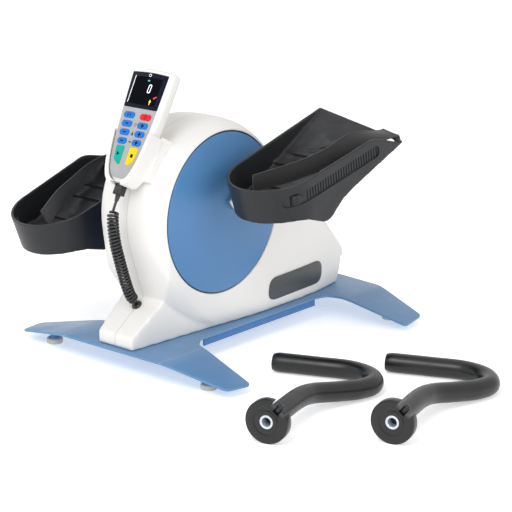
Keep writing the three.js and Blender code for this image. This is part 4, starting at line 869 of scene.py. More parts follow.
def housing_form(inset, sides=160, steps=12):
    """The housing's outer form, drawn in by the inset. A drawn-in form runs out through the bottom."""
    bottom = 0 if inset > 0 else PLATE_THICK + 0.5
    half = LIP_X - inset
    profile = [[crown(half * i / steps, inset), half * i / steps] for i in range(-steps, steps + 1)]
    drum = turned([[0, -half], *profile, [0, half]], "x", 0, AXIS_Z, sides)
    ring = []
    for i in range(sides):
        angle = 2 * math.pi * i / sides
        for x in (0, half / 2, half * 3 / 4, half):
            radius = crown(x, inset)
            ring.append((x, radius * math.cos(angle), AXIS_Z + radius * math.sin(angle)))
    lip, corner = TAIL_LIP_Y - inset, TAIL_HALF - inset
    round_y, round_z = TAIL_LIP_Y - TAIL_LIP_ROUND - inset, TAIL_LIP_Z - TAIL_LIP_ROUND - inset
    (ridge_half, ridge_z), ridge_y = TAIL_RIDGE, TAIL_RIDGE_Y - inset
    shoulder_half, shoulder_y, shoulder_z = TAIL_SHOULDER
    tail = [*ring, *[(x - inset, min(y, TAIL_WALL - inset), bottom) for x, y in SKIRT],
            (TAIL_LIP_HALF, lip, TAIL_LIP_Z - inset), (TAIL_LIP_HALF, lip, UNDERCUT + inset),
            (corner, round_y, round_z), (corner, round_y, UNDERCUT + inset),
            (0, lip, TAIL_LIP_Z + TAIL_ARCH - inset), (ridge_half - inset, ridge_y, ridge_z - inset),
            (0, ridge_y, ridge_z + TAIL_ARCH - inset),
            (shoulder_half - inset, shoulder_y, shoulder_z - inset)]
    front, root_half = inset - NOSE_FRONT, NOSE_ROOT_HALF - inset
    nose = [(NOSE_HALF - inset, front, bottom), (NOSE_HALF - inset, front, NOSE_BROW - inset / 2),
            (NOSE_TOP_HALF - inset, -NOSE_TOP_Y, NOSE_TOP_Z - inset), (root_half, 0, bottom),
            (root_half, 0, NOSE_TOP_Z)]
    cheek = [*[(x, y, z) for x, y, z in ring if y <= 0 and z <= AXIS_Z],
             *[(x - inset, y + inset, max(z, bottom)) for x, y, z in CHEEK_UPPER + CHEEK_LOWER]]
    return joined(drum, *[hull(mirrored_places(places)) for places in (tail, nose, cheek)])


# %% Hollow and pockets
POCKET_LIP = [(0, -1.6), (0.4, -0.8), (1.2, -0.2), (1.2, 6)]
SIDE_REACH, FAR_BACK, FAR_AWAY = 90, 700, 450


def pocket(side):
    """The room for a crank disc, with the housing's lip rounded over."""
    rim = [(POCKET_RADIUS + out, LIP_X + beyond) for out, beyond in POCKET_LIP]
    profile = [(0, POCKET_FLOOR), (POCKET_RADIUS, POCKET_FLOOR), *rim, (0, rim[-1][1])]
    return turned(on_side(profile, side), "x", 0, AXIS_Z, sides=200)


def hollow_room():
    room = housing_form(WALL + 1, sides=96, steps=6)
    for side, _ in SIDES:
        low, high = span(side, POCKET_FLOOR - WALL, LIP_X + 5)
        room = cut(room, rod(POCKET_RADIUS + WALL, low, high, "x", 0, AXIS_Z, sides=96))
    return cut(room, block((-SIDE_REACH, TAIL_WALL - WALL, -1), (SIDE_REACH, FAR_BACK, UNDERCUT + WALL)))


# %% The two housing halves
AXLE_ROOM, SOCKET_HALF, SOCKET_DEEP, SOCKET_LOW, SOCKET_HIGH = 24, 13.8, 36, 15.7, 36.3
GLAND_HOLE, GLAND_HOLE_DEEP, SEAM_HALF = 6.5, 14, 0.4
housing = melted(housing_form(0), voxel=2.4, rounds=7)
print("relaxed housing", len(housing.polygons), "faces")
socket_room = block((-SOCKET_HALF, TAIL_WALL - SOCKET_DEEP, SOCKET_LOW),
                    (SOCKET_HALF, TAIL_WALL + 1, SOCKET_HIGH))
housing = cut(housing, hollow_room(), pocket(1), pocket(-1), rod(AXLE_ROOM, -LIP_X, LIP_X, "x", 0, AXIS_Z),
              block((-SIDE_REACH, TAIL_WALL, -1), (SIDE_REACH, FAR_BACK, UNDERCUT)), socket_room,
              moved(rod(GLAND_HOLE, -GLAND_HOLE_DEEP, 5, "z", sides=32), GLAND))
for side, name in SIDES:
    low, high = span(side, SEAM_HALF, SIDE_REACH * 2)
    half = common(housing, block((low, -FAR_AWAY, -1), (high, FAR_AWAY, FAR_AWAY)))
    piece(f"housing_half_{name}", half, OFF_WHITE, "base", [f"housing_{name}"], sharp=30)

# %% [markdown]
# ## Badges
# A plain pill-shaped plate sits on each side of the tail. It could be a flat plate pressed on, but the
# tail's side is curved, so the plate is cut out of a thin skin of the housing's own form.

# %% Badges
BADGE_PROUD, BADGE_FROM_X, BADGE_TO_X = 1.6, 21, 74
BADGE_PILL = [(119, 21, 20), (271, 21, 20), (271, 61, 20), (119, 61, 20)]
badge_skin = cut(housing_form(-BADGE_PROUD), housing_form(-SEAT_GAP))
pill = rounded(BADGE_PILL, steps=16)
for side, name in SIDES:
    low, high = span(side, BADGE_FROM_X, BADGE_TO_X)
    plate = bevelled(common(badge_skin, prism(pill, "x", low, high)), 0.45, segments=2, angle=50)
    piece(f"badge_plate_{name}", plate, BADGE_GREY, "base", [f"badge_{name}"])

# %% [markdown]
# ## Crank discs, bars and pins
# The blue discs turn with the cranks inside the housing's lips. They are turned shapes with a rounded
# rim that close over the axle's end. A black ring fills the gap round each disc as painted shade. The
# steel bar on each disc carries the pin that a foot shell swings on.

# %% Discs, bars and pins
CRANK_ANGLE, CRANK_RADIUS, PIN_RADIUS = 39.6, 70.0, 8.0
DISC_PROFILE = [[10.3, 47.3], [22, 47.3], [22, 65.4], [128.6, 65.4], [130, 66.6], [130, 69], [129.5, 69.9],
                [128.4, 70.4], [16, 70.4], [10, 70.75], [0, 70.8], [0, 70.5], [10.3, 70.5], [10.3, 47.3]]
GAP_SHADE_RING = [[130.7, 60], [131.8, 60], [131.8, 68.4], [130.7, 68.4], [130.7, 60]]
PIN_PROFILE = [[0, 70.7], [7.2, 70.7], [8, 71.5], [8, 149.4], [6.8, 150.7], [0, 150.7]]
BAR_FACE, BAR_THICK, PIN_HOLE = LIP_X + SEAT_GAP, 8, 8.3
BAR_OUTLINE = [(14, -10, 5), (86, -10, 10), (86, 10, 10), (14, 10, 5)]


def crank_turn(side):
    return CRANK_ANGLE + (0 if side > 0 else 180)


def crank_bar(side):
    low, high = span(side, BAR_FACE, BAR_FACE + BAR_THICK)
    hole = rod(PIN_HOLE, low - 1, high + 1, "x", CRANK_RADIUS, 0, sides=48)
    return bevelled(cut(prism(rounded(BAR_OUTLINE, steps=12), "x", low, high), hole), 0.9)


for side, name in SIDES:
    place = turned_about_x((0, 0, AXIS_Z), crank_turn(side))
    disc = turned(on_side(DISC_PROFILE, side), "x", sides=200)
    piece(f"disc_cover_{name}", moved(disc, place), DISC_BLUE, "crank",
          [f"crank_disc_{name}"], sharp=30)
    bar = moved(crank_bar(side), place)
    piece(f"crank_bar_{name}", bar, STEEL, "crank", [f"crank_plate_{name}"])
    # A black ring in the gap between each disc and the housing's lip is painted shade.
    ring = turned(on_side(GAP_SHADE_RING, side), "x", 0, AXIS_Z, sides=200)
    piece(f"gap_shade_ring_{name}", ring, CORD_BLACK, "base")
    pin = turned(on_side(PIN_PROFILE, side), "x", CRANK_RADIUS, 0, sides=48)
    piece(f"swing_pin_{name}", moved(pin, place), STEEL, f"pin_{name}", [f"pedal_pin_{name}"])

# %% [markdown]
# ## Foot shells
# Each foot shell is one thick moulding: a half-round heel, walls that open toward the toe, a treaded
# sole and a sloping toe plate. Its form is drawn once for the right foot, melted so that the rims and
# the inner corners turn soft, and mirrored for the left. The ribbed track for the strap's slider is cut
# last, so that its ribs stay sharp.

# %% The shell's measures
HEEL_RADIUS, HEEL_Y, FLARE, RIM = 74.5, 55.4, 0.04, 61.0
SHELL_FOOT, SHELL_DRAFT, SHELL_WALL, TOE_REACH = 26.0, 5.2, 4.5, 222.0
TOE_INNER, TOE_OUTER, TOE_TIP, TOE_LIP = 166.2, 95.0, 161.0, 3.5
PLATE_PITCH, PLATE_ROLL = 0.231, 0.19
CREASE = [(-89.4, 169.5), (-60, 142.9), (-34, 125), (-10, 114), (40, 114), (89.4, 128)]
SOLE = [(-59, 12), (-17, 17.5), (44, 27), (114.7, 36)]
SOLE_THICK = 5.0
UNDER = [(-130.1, 5), (-110, 3), (-89, 0.5), (-70, -5), (-50, -17), (-38, -24), (-30, -26), (-22, -25),
         (-13, -21), (-1, -13), (11, -6.6), (24, -2.7), (45, 2.1), (222, 33.5)]
TRACK_REAR, TRACK_FRONT, TRACK_Z, TRACK_HIGH = -107.0, 105.0, 36.5, 20.0
SLOT_Y, SHELL_X = -96.0, 186.0
PITCH = {1: 14.3, -1: 17.3}
FAR = TOE_REACH * 2


def half_at(y):
    return HEEL_RADIUS + FLARE * max(0, y + HEEL_Y)


def plate_at(x, y):
    return RIM - PLATE_ROLL * (x + half_at(TOE_INNER)) + PLATE_PITCH * (y - TOE_INNER)


def toe_place(x, y, z=None):
    return Vector((x, y, plate_at(x, y) if z is None else z))


def sole_at(y):
    if y <= SOLE[0][0]:
        return SOLE[0][1]
    for (y0, z0), (y1, z1) in zip(SOLE, SOLE[1:]):
        if y <= y1 or (y1, z1) == SOLE[-1]:
            return z0 + (z1 - z0) * (y - y0) / (y1 - y0)


def shell_form(inset, top=RIM, steps=72):
    rings = []
    for z, draft in ((-SHELL_FOOT, SHELL_DRAFT + inset), (top, inset)):
        half, radius = half_at(TOE_REACH) - draft, HEEL_RADIUS - draft
        ring = [(half, TOE_REACH, z), (-half, TOE_REACH, z)]
        for i in range(steps + 1):
            angle = math.pi + math.pi * i / steps
            ring.append((radius * math.cos(angle), radius * math.sin(angle) - HEEL_Y, z))
        rings.append(ring)
    return skinned(rings)


def half_space(a, b, c):
    """A big box on one side of the plane through three places."""
    along = (b - a).normalized()
    normal = -(c - a).cross(along).normalized()
    across = normal.cross(along)
    place = Matrix((along, across, normal)).transposed().to_4x4()
    return moved(block((-FAR, -FAR, 0), (FAR, FAR, FAR)), Matrix.Translation(a) @ place)


# %% The shell's solid
INNER_CORNER = toe_place(-half_at(TOE_INNER), TOE_INNER)
RIM_CORNER = toe_place(half_at(TOE_OUTER), TOE_OUTER, RIM)
TIP_CORNER = toe_place(half_at(TOE_TIP), TOE_TIP)
TREADS = [(-72, 18), (-37, 19), (21, 20), (52, 16)]
TREAD_ROOT, TREAD_REAR_RISE, TREAD_FRONT_RISE = 1, 5.2, 1.2
BALL_PAD = [(-78, 128, 3), (-70, 64, 6), (-34, 70, 16), (-2, 93, 12), (-34, 114, 16)]
PAD_REAR, PAD_FRONT, PAD_ROOT, PAD_REAR_RISE, PAD_FRONT_RISE = 30, 130, 2, 3, 6
SHELL_HUB_START, SHELL_HUB_LONG, SHELL_HUB_RADIUS = 11, 92, 13
RIM_CORNER_CUT = [(60, RIM, 0), (TOE_OUTER, RIM, 17), (TOE_TIP, 24.8, 0), (TOE_TIP, 90, 0), (60, 90, 0)]


def over_plate(set_back):
    """Everything over and in front of the crease where the toe plate begins."""
    crease = [(x, y - set_back) for x, y in CREASE]
    outline = [*crease, (FAR, crease[-1][1]), (FAR, FAR), (-FAR, FAR), (-FAR, crease[0][1])]
    return prism(outline, "z", -FAR, FAR)


def foot_room():
    sole = [(-FAR, SOLE[0][1]), *SOLE, (TOE_REACH, sole_at(TOE_REACH)), (TOE_REACH, FAR), (-FAR, FAR)]
    above = half_space(INNER_CORNER, toe_place(0, 0), TIP_CORNER)
    return common(joined(prism(sole, "x", -FAR, FAR), over_plate(0)), above)


def on_sole(rear, front, root, rear_rise, front_rise):
    """A slab across the sole, rooted in it, with one rise at its rear and another at its front."""
    low, high = sole_at(rear), sole_at(front)
    corners = [(rear, low - root), (front, high - root), (front, high + front_rise), (rear, low + rear_rise)]
    return common(prism(corners, "x", -TOE_REACH, TOE_REACH), shell_form(SHELL_WALL - 0.5))


def hollow_shell():
    """The shell's walls, sole and toe plate, open at the top and underneath."""
    wide = TOE_REACH
    floor = [(y, sole_at(y) - SOLE_THICK) for y, _ in SOLE]
    under_sole = [(-wide, floor[0][1]), *floor, (floor[-1][0], -wide), (-wide, -wide)]
    drop = Vector((0, 0, SOLE_THICK))
    below_plate = half_space(INNER_CORNER - drop, TIP_CORNER - drop, toe_place(0, 0) - drop)
    skirt = cut(prism(under_sole, "x", -wide, wide), over_plate(SOLE_THICK))
    skirt = joined(skirt, common(over_plate(0), below_plate))
    inside = common(shell_form(SHELL_WALL, RIM + 1), foot_room())
    return cut(shell_form(0), inside, common(shell_form(SHELL_WALL), skirt))


def rough_shell():
    treads = [on_sole(y, y + length, TREAD_ROOT, TREAD_REAR_RISE, TREAD_FRONT_RISE) for y, length in TREADS]
    pad = common(prism(rounded(BALL_PAD, steps=10), "z", -20, 60),
                 on_sole(PAD_REAR, PAD_FRONT, PAD_ROOT, PAD_REAR_RISE, PAD_FRONT_RISE))
    hub_from = BAR_FACE + SHELL_HUB_START - SHELL_X
    hub_to = hub_from + SHELL_HUB_LONG
    web_top = sole_at(-SHELL_HUB_RADIUS) - SOLE_THICK / 2
    web = block((SHELL_DRAFT - half_at(0), -SHELL_HUB_RADIUS, 0), (hub_to, SHELL_HUB_RADIUS, web_top))
    body = joined(hollow_shell(), pad, *treads, rod(SHELL_HUB_RADIUS, hub_from, hub_to, "x"), web)
    wide = TOE_REACH
    below = [*UNDER, (FAR, UNDER[-1][1]), (FAR, -wide), (-wide, -wide), (-wide, UNDER[0][1])]
    ahead = Vector((0, TOE_LIP, 0))
    front = INNER_CORNER + ahead
    return cut(body, prism(below, "x", -wide, wide), half_space(INNER_CORNER, RIM_CORNER, TIP_CORNER),
               prism(rounded(RIM_CORNER_CUT, steps=10), "x", 20, wide),
               half_space(front, front + Vector((0, 0, 1)), TIP_CORNER + ahead))


# %% Track, ribs and bore
TRACK_DEEP, RIB_MARGIN, RIB_DEEP, RIB_COUNT, RIB_PITCH = 1.8, 1.8, 2.9, 28, 6.2
RIB_NEAR, RIB_FAR, SLOT_WIDE = 4, 7.2, 2.4
BORE_START, BORE_END = 10, 83


def carved(body, tool, depth):
    """The body with the tool's print let into its outer wall to a depth."""
    return cut(body, cut(common(tool, shell_form(-1)), shell_form(depth)))


def finished_shell():
    rear, front = TRACK_REAR, TRACK_FRONT
    low, high, bend = TRACK_Z - TRACK_HIGH / 2, TRACK_Z + TRACK_HIGH / 2, TRACK_HIGH / 2
    corners = [(rear, low), (front, low), (front, high), (rear, high)]
    track = rounded([(y, z, bend) for y, z in corners], steps=12)
    body = carved(melted(rough_shell(), voxel=1.5, rounds=5), prism(track, "x", 0, TOE_REACH), TRACK_DEEP)
    low, high = low + RIB_MARGIN, high - RIB_MARGIN
    ribs = []
    for i in range(RIB_COUNT):
        rib_rear, rib_front = front - RIB_FAR - i * RIB_PITCH, front - RIB_NEAR - i * RIB_PITCH
        ribs.append(block((0, rib_rear, low), (TOE_REACH, rib_front, high)))
    body = carved(body, joined(*ribs), RIB_DEEP)
    body = carved(body, block((0, SLOT_Y, low), (TOE_REACH, SLOT_Y + SLOT_WIDE, high)), SHELL_WALL + 1)
    bore_from, bore_to = BAR_FACE + BORE_START - SHELL_X, BAR_FACE + BORE_END - SHELL_X
    return cut(body, rod(PIN_RADIUS + SEAT_GAP, bore_from, bore_to, "x", sides=48))


def shell_place(side):
    angle = math.radians(crank_turn(side))
    centre = (side * SHELL_X, CRANK_RADIUS * math.cos(angle), AXIS_Z + CRANK_RADIUS * math.sin(angle))
    return turned_about_x(centre, PITCH[side]) @ Matrix.Scale(side, 4, (1, 0, 0))


SHELL = finished_shell()
for side, name in SIDES:
    piece(f"foot_tray_{name}", moved(SHELL, shell_place(side)), SHELL_BLACK, f"shell_{name}",
          [f"foot_shell_{name}"], sharp=32)

# %% [markdown]
# ## Straps and their sliders
# A wide hook-and-loop band stands on edge at the heel, twists as it runs forward, lies over the toe
# plate's edge and wraps a little way down its front. Cloth simulation would erase such a flat thin
# band, so it is skinned along its route with a hem at each edge. Its own flat coordinates, across and
# along, carry the weave round every twist.

# %% Strap
STRAP_WIDTH, STRAP_THICK, STRAP_STEPS, STRAP_EDGE_X = 30.0, 2.6, 30, 54.5
STRAP_ROUTE = [((-12.0, -94.6, 54.0), (0.37, 0.29, 0.88)), ((21.0, -28.0, 51.0), (0, 0, 1)),
               ((34.0, 28.0, 49.5), (0, 0, 1)), ((45.0, 89.7, 52.5), (-0.6, 0.1, 0.79))]
STRAP_LEAN, STRAP_WRAP = (-1, 0, 0.25), [(0, 0, 0), (0, 9, -2.2), (0, 13, -14)]
STRAP_SECTION = [(-15, -0.5), (-14.8, -1), (-14.3, -1.25), (-12.6, -1.3), (-12.2, -1.0), (-11.8, -1.2),
                 (0, -1.2), (11.8, -1.2), (12.2, -1.0), (12.6, -1.3), (14.3, -1.25), (14.8, -1), (15, -0.5)]


def strap_stations():
    share = (STRAP_EDGE_X - INNER_CORNER.x) / (TIP_CORNER.x - INNER_CORNER.x)
    edge_y = TOE_INNER + (TOE_TIP - TOE_INNER) * share
    lean = Vector(STRAP_LEAN).normalized()
    rest = plate_at(STRAP_EDGE_X + STRAP_WIDTH / 2, edge_y) + SEAT_GAP + STRAP_THICK / 2
    edge = Vector((STRAP_EDGE_X, edge_y, rest + STRAP_WIDTH / 2 * lean.z))
    tail = [edge + Vector(step) for step in STRAP_WRAP]
    centres = [Vector(centre) for centre, _ in STRAP_ROUTE] + tail
    leans = [Vector(way).normalized() for _, way in STRAP_ROUTE] + [lean] * len(tail)
    return smooth_route(centres, STRAP_STEPS), smooth_route(leans, STRAP_STEPS)


def strap_mesh():
    route, leans = strap_stations()
    section = STRAP_SECTION + [(u, -w) for u, w in reversed(STRAP_SECTION)]
    rings, band, run = [], [], 0.0
    for i, (centre, lean) in enumerate(zip(route, leans)):
        along = (route[min(i + 1, len(route) - 1)] - route[max(i - 1, 0)]).normalized()
        across = (lean - along * lean.dot(along)).normalized()
        face = along.cross(across)
        run += (centre - route[i - 1]).length if i else 0
        rings.append([centre + across * u + face * w for u, w in section])
        band += [(u, run) for u, _ in section]
    mesh = skinned(rings)
    layer = mesh.uv_layers.new(name="band")
    for loop in mesh.loops:
        layer.data[loop.index].uv = band[loop.vertex_index]
    print("strap", round(run, 1), "mm long", len(mesh.vertices) == len(band))
    return mesh


# %% Slider
SLIDER_START, SLIDER_FROM_X = SLOT_Y + 2.7, 18
SLIDER_ARROW = [(0, -7.9), (7.7, -7.9), (17, 0), (7.7, 7.9), (0, 7.9)]
SLIDER_GROOVE = [(3, -5), (4, -5), (4, 5), (3, 5)]
SLIDER_PROUD, SLIDER_SUNK, GROOVE_LEVEL = 2.6, 1.5, 1.9


def across_track(outline):
    return prism([(SLIDER_START + y, TRACK_Z + z) for y, z in outline], "x", SLIDER_FROM_X, TOE_REACH)


def slider_mesh():
    body = cut(common(across_track(SLIDER_ARROW), shell_form(-SLIDER_PROUD)), shell_form(SLIDER_SUNK))
    groove = cut(common(across_track(SLIDER_GROOVE), shell_form(-4)), shell_form(-GROOVE_LEVEL))
    return bevelled(cut(body, groove), 0.35, segments=2, angle=40)


STRAP, SLIDER = strap_mesh(), slider_mesh()
for side, name in SIDES:
    place = shell_place(side)
    piece(f"foot_strap_{name}", moved(STRAP, place), STRAP_BLACK, f"shell_{name}",
          [f"strap_{name}"], sharp=60)
    piece(f"slider_arrow_{name}", moved(SLIDER, place), SHELL_BLACK, f"slider_{name}",
          [f"strap_slider_{name}"])

# %% [markdown]
# ## Handset
# The handset is two shells that meet in a crease, with a dark window, a grey keypad sheet and ten keys.
# Its outline narrows toward the foot. Slices of that outline at several depths, each drawn in a little
# more, give the soft bevel all round. Window, sheet and keys sit in pockets that are cut to fit.

# %% Outlines
HANDSET_SIDE = [(0.25, -1, 0.5), (0.5, -0.93, 0.3), (0.67, -0.79, 0.3), (0.79, -0.58, 0.3), (0.89, -0.3, 0.3),
                (0.965, 0.13, 0.3), (1, 1, 5 / HANDSET_HALF)]
OVERLAY_SIDE = [(0.4, -1), (0.62, -0.9), (0.77, -0.75), (0.87, -0.53), (0.93, -0.32), (1, 0)]
WINDOW_HIGH, WINDOW_TOP_HALF, WINDOW_FOOT_HALF = 56.5, 37.8, 35.0
OVERLAY_LONG, OVERLAY_BEND, WINDOW_SPACE, TOP_ARCH = 113.5, 12.6, 0.6, 2.2


def handset_outline(inset):
    right = []
    for width, up, bend in HANDSET_SIDE:
        reach = HANDSET_BOTTOM if up < 0 else HANDSET_TOP
        right.append((width * HANDSET_HALF - inset, up * (reach - inset), bend * HANDSET_HALF))
    return rounded(mirrored_outline(right, [(0, HANDSET_TOP + TOP_ARCH - inset, HANDSET_HALF / 2)]))


def handset_slab(sections):
    """A body over handset outlines, each section a depth and how far it is drawn in."""
    return skinned([[(x, y, z) for x, z in handset_outline(inset)] for y, inset in sections])


def window_outline(grow):
    foot, top = WINDOW_FOOT_HALF + grow, WINDOW_TOP_HALF + grow
    return rounded([(-foot, -grow, 2), (foot, -grow, 2), (top, WINDOW_HIGH + grow, 2),
                    (0, WINDOW_HIGH + grow + TOP_ARCH, WINDOW_TOP_HALF / 2), (-top, WINDOW_HIGH + grow, 2)])


def overlay_outline(grow):
    right = []
    for width, up in OVERLAY_SIDE:
        space, bend = (grow, OVERLAY_BEND) if up < 0 else (WINDOW_SPACE - grow, 0)
        right.append((width * WINDOW_FOOT_HALF + grow, up * OVERLAY_LONG - space, bend))
    return rounded(mirrored_outline(right))


# %% Keys
KEY_HIGH, ARC_STEP = 9.8, 10


def key_pill(x, z, length):
    def outline(grow):
        radius, reach = KEY_HIGH / 2 + grow, (length - KEY_HIGH) / 2
        places = []
        for shift, start in ((reach, -90), (-reach, 90)):
            for i in range(180 // ARC_STEP + 1):
                turn = math.radians(start + ARC_STEP * i)
                places.append((x + shift + radius * math.cos(turn), z + radius * math.sin(turn)))
        return places
    return outline


SHIELD_INNER, SHIELD_OUTER, SHIELD_TOP, SHIELD_FOOT, SHIELD_RISE, SHIELD_BEND = 6, 23, 63, 91.5, 7.1, 2.5


def key_shield(side):
    wide = SHIELD_OUTER - SHIELD_INNER

    def outline(grow):
        inner, outer = SHIELD_INNER - grow, SHIELD_OUTER + grow
        top, foot = grow - SHIELD_TOP, -SHIELD_FOOT - grow
        corners = [(inner, foot), (inner + wide / 3, foot), (outer - wide / 7, foot + SHIELD_RISE),
                   (outer, top), (inner, top)]
        return rounded([(side * x, z, SHIELD_BEND) for x, z in (corners if side > 0 else reversed(corners))])
    return outline


KEY_ROWS = [("key_direction", "key_power"), ("key_minus_1", "key_plus_1"), ("key_minus_2", "key_plus_2"),
            ("key_minus_3", "key_plus_3")]
TOP_KEY, ROW_STEP = (17.2, -12.9, 23), (0.65, 14, 1.3)
SHIELD_SIGN_X, SHIELD_SIGN_Z = 14.5, -76
KEYS = []
for row, (left, right) in enumerate(KEY_ROWS):
    x, z, length = [first - row * step for first, step in zip(TOP_KEY, ROW_STEP)]
    look, slot = (KEY_BLUE, "key_blue") if row else (KEY_RED, "key_red")
    KEYS.append((left, key_pill(-x, z, length), KEY_BLUE, "key_blue", (-x, z)))
    KEYS.append((right, key_pill(x, z, length), look, slot, (x, z)))
KEYS.append(("key_start", key_shield(-1), KEY_GREEN, "key_green", (-SHIELD_SIGN_X, SHIELD_SIGN_Z)))
KEYS.append(("key_stop", key_shield(1), KEY_YELLOW, "key_yellow", (SHIELD_SIGN_X, SHIELD_SIGN_Z)))

# %% Handset body, window and sheet
FACE_SECTIONS = [(0, 4.0), (0.3, 3.45), (1.0, 2.95), (9.1, 0.2), (9.6, 0.1)]
REAR_SECTIONS = [(9.9, 0.1), (10.4, 0), (21.5, 0.9), (23.4, 1.6), (24.2, 2.6), (24.5, 4)]
WINDOW_DEEP, OVERLAY_DEEP, KEY_DEEP, PROUD = 2, 0.8, 2.1, 0.3


def on_handset(name, mesh, look, replaces=(), sharp=38, body="handset"):
    return piece(name, moved(mesh, HANDSET), look, body, replaces, sharp)


def key_holes(depth):
    return [prism(outline(SEAT_GAP), "y", -1, depth) for _, outline, *_ in KEYS]


face = cut(handset_slab(FACE_SECTIONS), prism(window_outline(SEAT_GAP), "y", -1, WINDOW_DEEP),
           prism(overlay_outline(SEAT_GAP), "y", -1, OVERLAY_DEEP), *key_holes(KEY_DEEP))
sheet = cut(prism(overlay_outline(0), "y", -PROUD, OVERLAY_DEEP - SEAT_GAP), *key_holes(1))
pane = bevelled(prism(window_outline(0), "y", -PROUD, WINDOW_DEEP - SEAT_GAP), 0.25, segments=2, angle=60)
on_handset("handset_face", face, OFF_WHITE, ["handset_front"], sharp=28)
on_handset("handset_rear", handset_slab(REAR_SECTIONS), OFF_WHITE, ["handset_back"], sharp=28)
on_handset("window_pane", pane, SCREEN_FRAME, ["display_window"])
on_handset("keypad_sheet", sheet, KEYPAD_GREY, ["keypad_overlay"])

# %% Key caps
CAP_SECTIONS = [(1.2, 0), (-0.8, 0), (-1.05, -0.15), (-1.17, -0.45), (-1.2, -0.9)]


def key_cap(outline):
    """A key with a soft crown: slices of its outline, each drawn in more."""
    return skinned([[(x, y, z) for x, z in outline(grow)] for y, grow in CAP_SECTIONS])


for name, outline, look, slot, _ in KEYS:
    on_handset(f"{name}_moulding", key_cap(outline), look, [name], body=f"{name}_cap")

# %% [markdown]
# ## Printed signs and display marks
# The keys carry plain signs: minus, plus, arrows and so on. A sign could be part of the key's material,
# but a very thin raised shape, as thick screen printing is, stays sharp from close by. Each is drawn
# from a few small outlines. The display's marks shine a little by themselves.

# %% Signs
def turned_sign(outline, x, z, degrees):
    place = Matrix.Translation((x, 0, z)) @ Matrix.Rotation(math.radians(degrees), 4, "Y")
    places = [place @ Vector((u, 0, v)) for u, v in outline]
    return [(p.x, p.z) for p in places]


def bar_sign(x, z, wide, high, turn=0.0):
    half, rise = wide / 2, high / 2
    return turned_sign([(-half, -rise), (half, -rise), (half, rise), (-half, rise)], x, z, turn)


ARROW_SHARES = [(-0.16, -1), (0.16, -1), (0.16, 0), (0.55, 0), (0, 1), (-0.55, 0), (-0.16, 0)]


def arrow_sign(x, z, size, turn=0.0):
    """An arrow that points up before it is turned."""
    return turned_sign([(u * size, v * size) for u, v in ARROW_SHARES], x, z, turn)


def round_sign(x, z, wide, high, steps=32):
    angles = [2 * math.pi * i / steps for i in range(steps)]
    return [(x + wide / 2 * math.cos(angle), z + high / 2 * math.sin(angle)) for angle in angles]


def printed(outlines, layer, holes=()):
    """Outlines as a thin raised print. The layer says from which depth to which."""
    low, high = layer
    made = joined(*[prism(outline, "y", low, high) for outline in outlines])
    return cut(made, *[prism(hole, "y", low - 1, high + 1) for hole in holes])


# %% Signs on the keys and the sheet
MINUS_WIDE, MINUS_HIGH, PLUS_LONG, PLUS_THICK = 6.4, 1.8, 6.6, 2
ARROW_APART, ARROW_SIZE, POWER_OUTER, POWER_INNER = 2.6, 3, 6, 4.2
START_REAR, START_TIP, START_RISE, STOP_SIDE = 2.6, 3.2, 3.4, 5.6


def key_sign(name, x, z):
    """The outlines and the holes of a key's sign."""
    if "minus" in name:
        return [bar_sign(x, z, MINUS_WIDE, MINUS_HIGH)], []
    if "plus" in name:
        return [bar_sign(x, z, PLUS_LONG, PLUS_THICK), bar_sign(x, z, PLUS_THICK, PLUS_LONG)], []
    if name == "key_direction":
        down = arrow_sign(x - ARROW_APART, z, ARROW_SIZE, 180)
        return [down, arrow_sign(x + ARROW_APART, z, ARROW_SIZE)], []
    if name == "key_power":
        return [round_sign(x, z, POWER_OUTER, POWER_OUTER)], [round_sign(x, z, POWER_INNER, POWER_INNER)]
    if name == "key_start":
        return [[(x - START_REAR, z - START_RISE), (x + START_TIP, z), (x - START_REAR, z + START_RISE)]], []
    return [bar_sign(x, z, STOP_SIDE, STOP_SIDE)], []


KEY_LAYER, SHEET_LAYER, FIELD_LAYER, MARK_LAYER = (-1.24, -1.0), (-0.34, -0.1), (-0.36, -0.1), (-0.42, -0.2)
for name, _, _, _, (x, z) in KEYS:
    outlines, holes = key_sign(name, x, z)
    sign = printed(outlines, KEY_LAYER, holes)
    on_handset(f"{name}_sign", sign, PRINT_BLACK, body=f"{name}_cap")

SIGN_X, RING_Z, WEIGHT_Z, ARROW_Z = 0.8, -26.9, -40.9, -54.9
WEIGHT = [(-1.6, -3.4), (1.6, -3.4), (1.7, -0.6), (0.6, 0.8), (0.6, 3), (-0.6, 3), (-0.6, 0.8), (-1.7, -0.6)]
SHEET_SIGNS = [("ring", round_sign(SIGN_X, RING_Z, 4.2, 6), [round_sign(SIGN_X, RING_Z, 3, 4.8)]),
               ("weight", [(x + SIGN_X, z + WEIGHT_Z) for x, z in WEIGHT], []),
               ("arrow", arrow_sign(SIGN_X, ARROW_Z, 3.2, 90), [])]
for label, outline, holes in SHEET_SIGNS:
    on_handset(f"sheet_sign_{label}", printed([outline], SHEET_LAYER, holes), PRINT_BLACK)

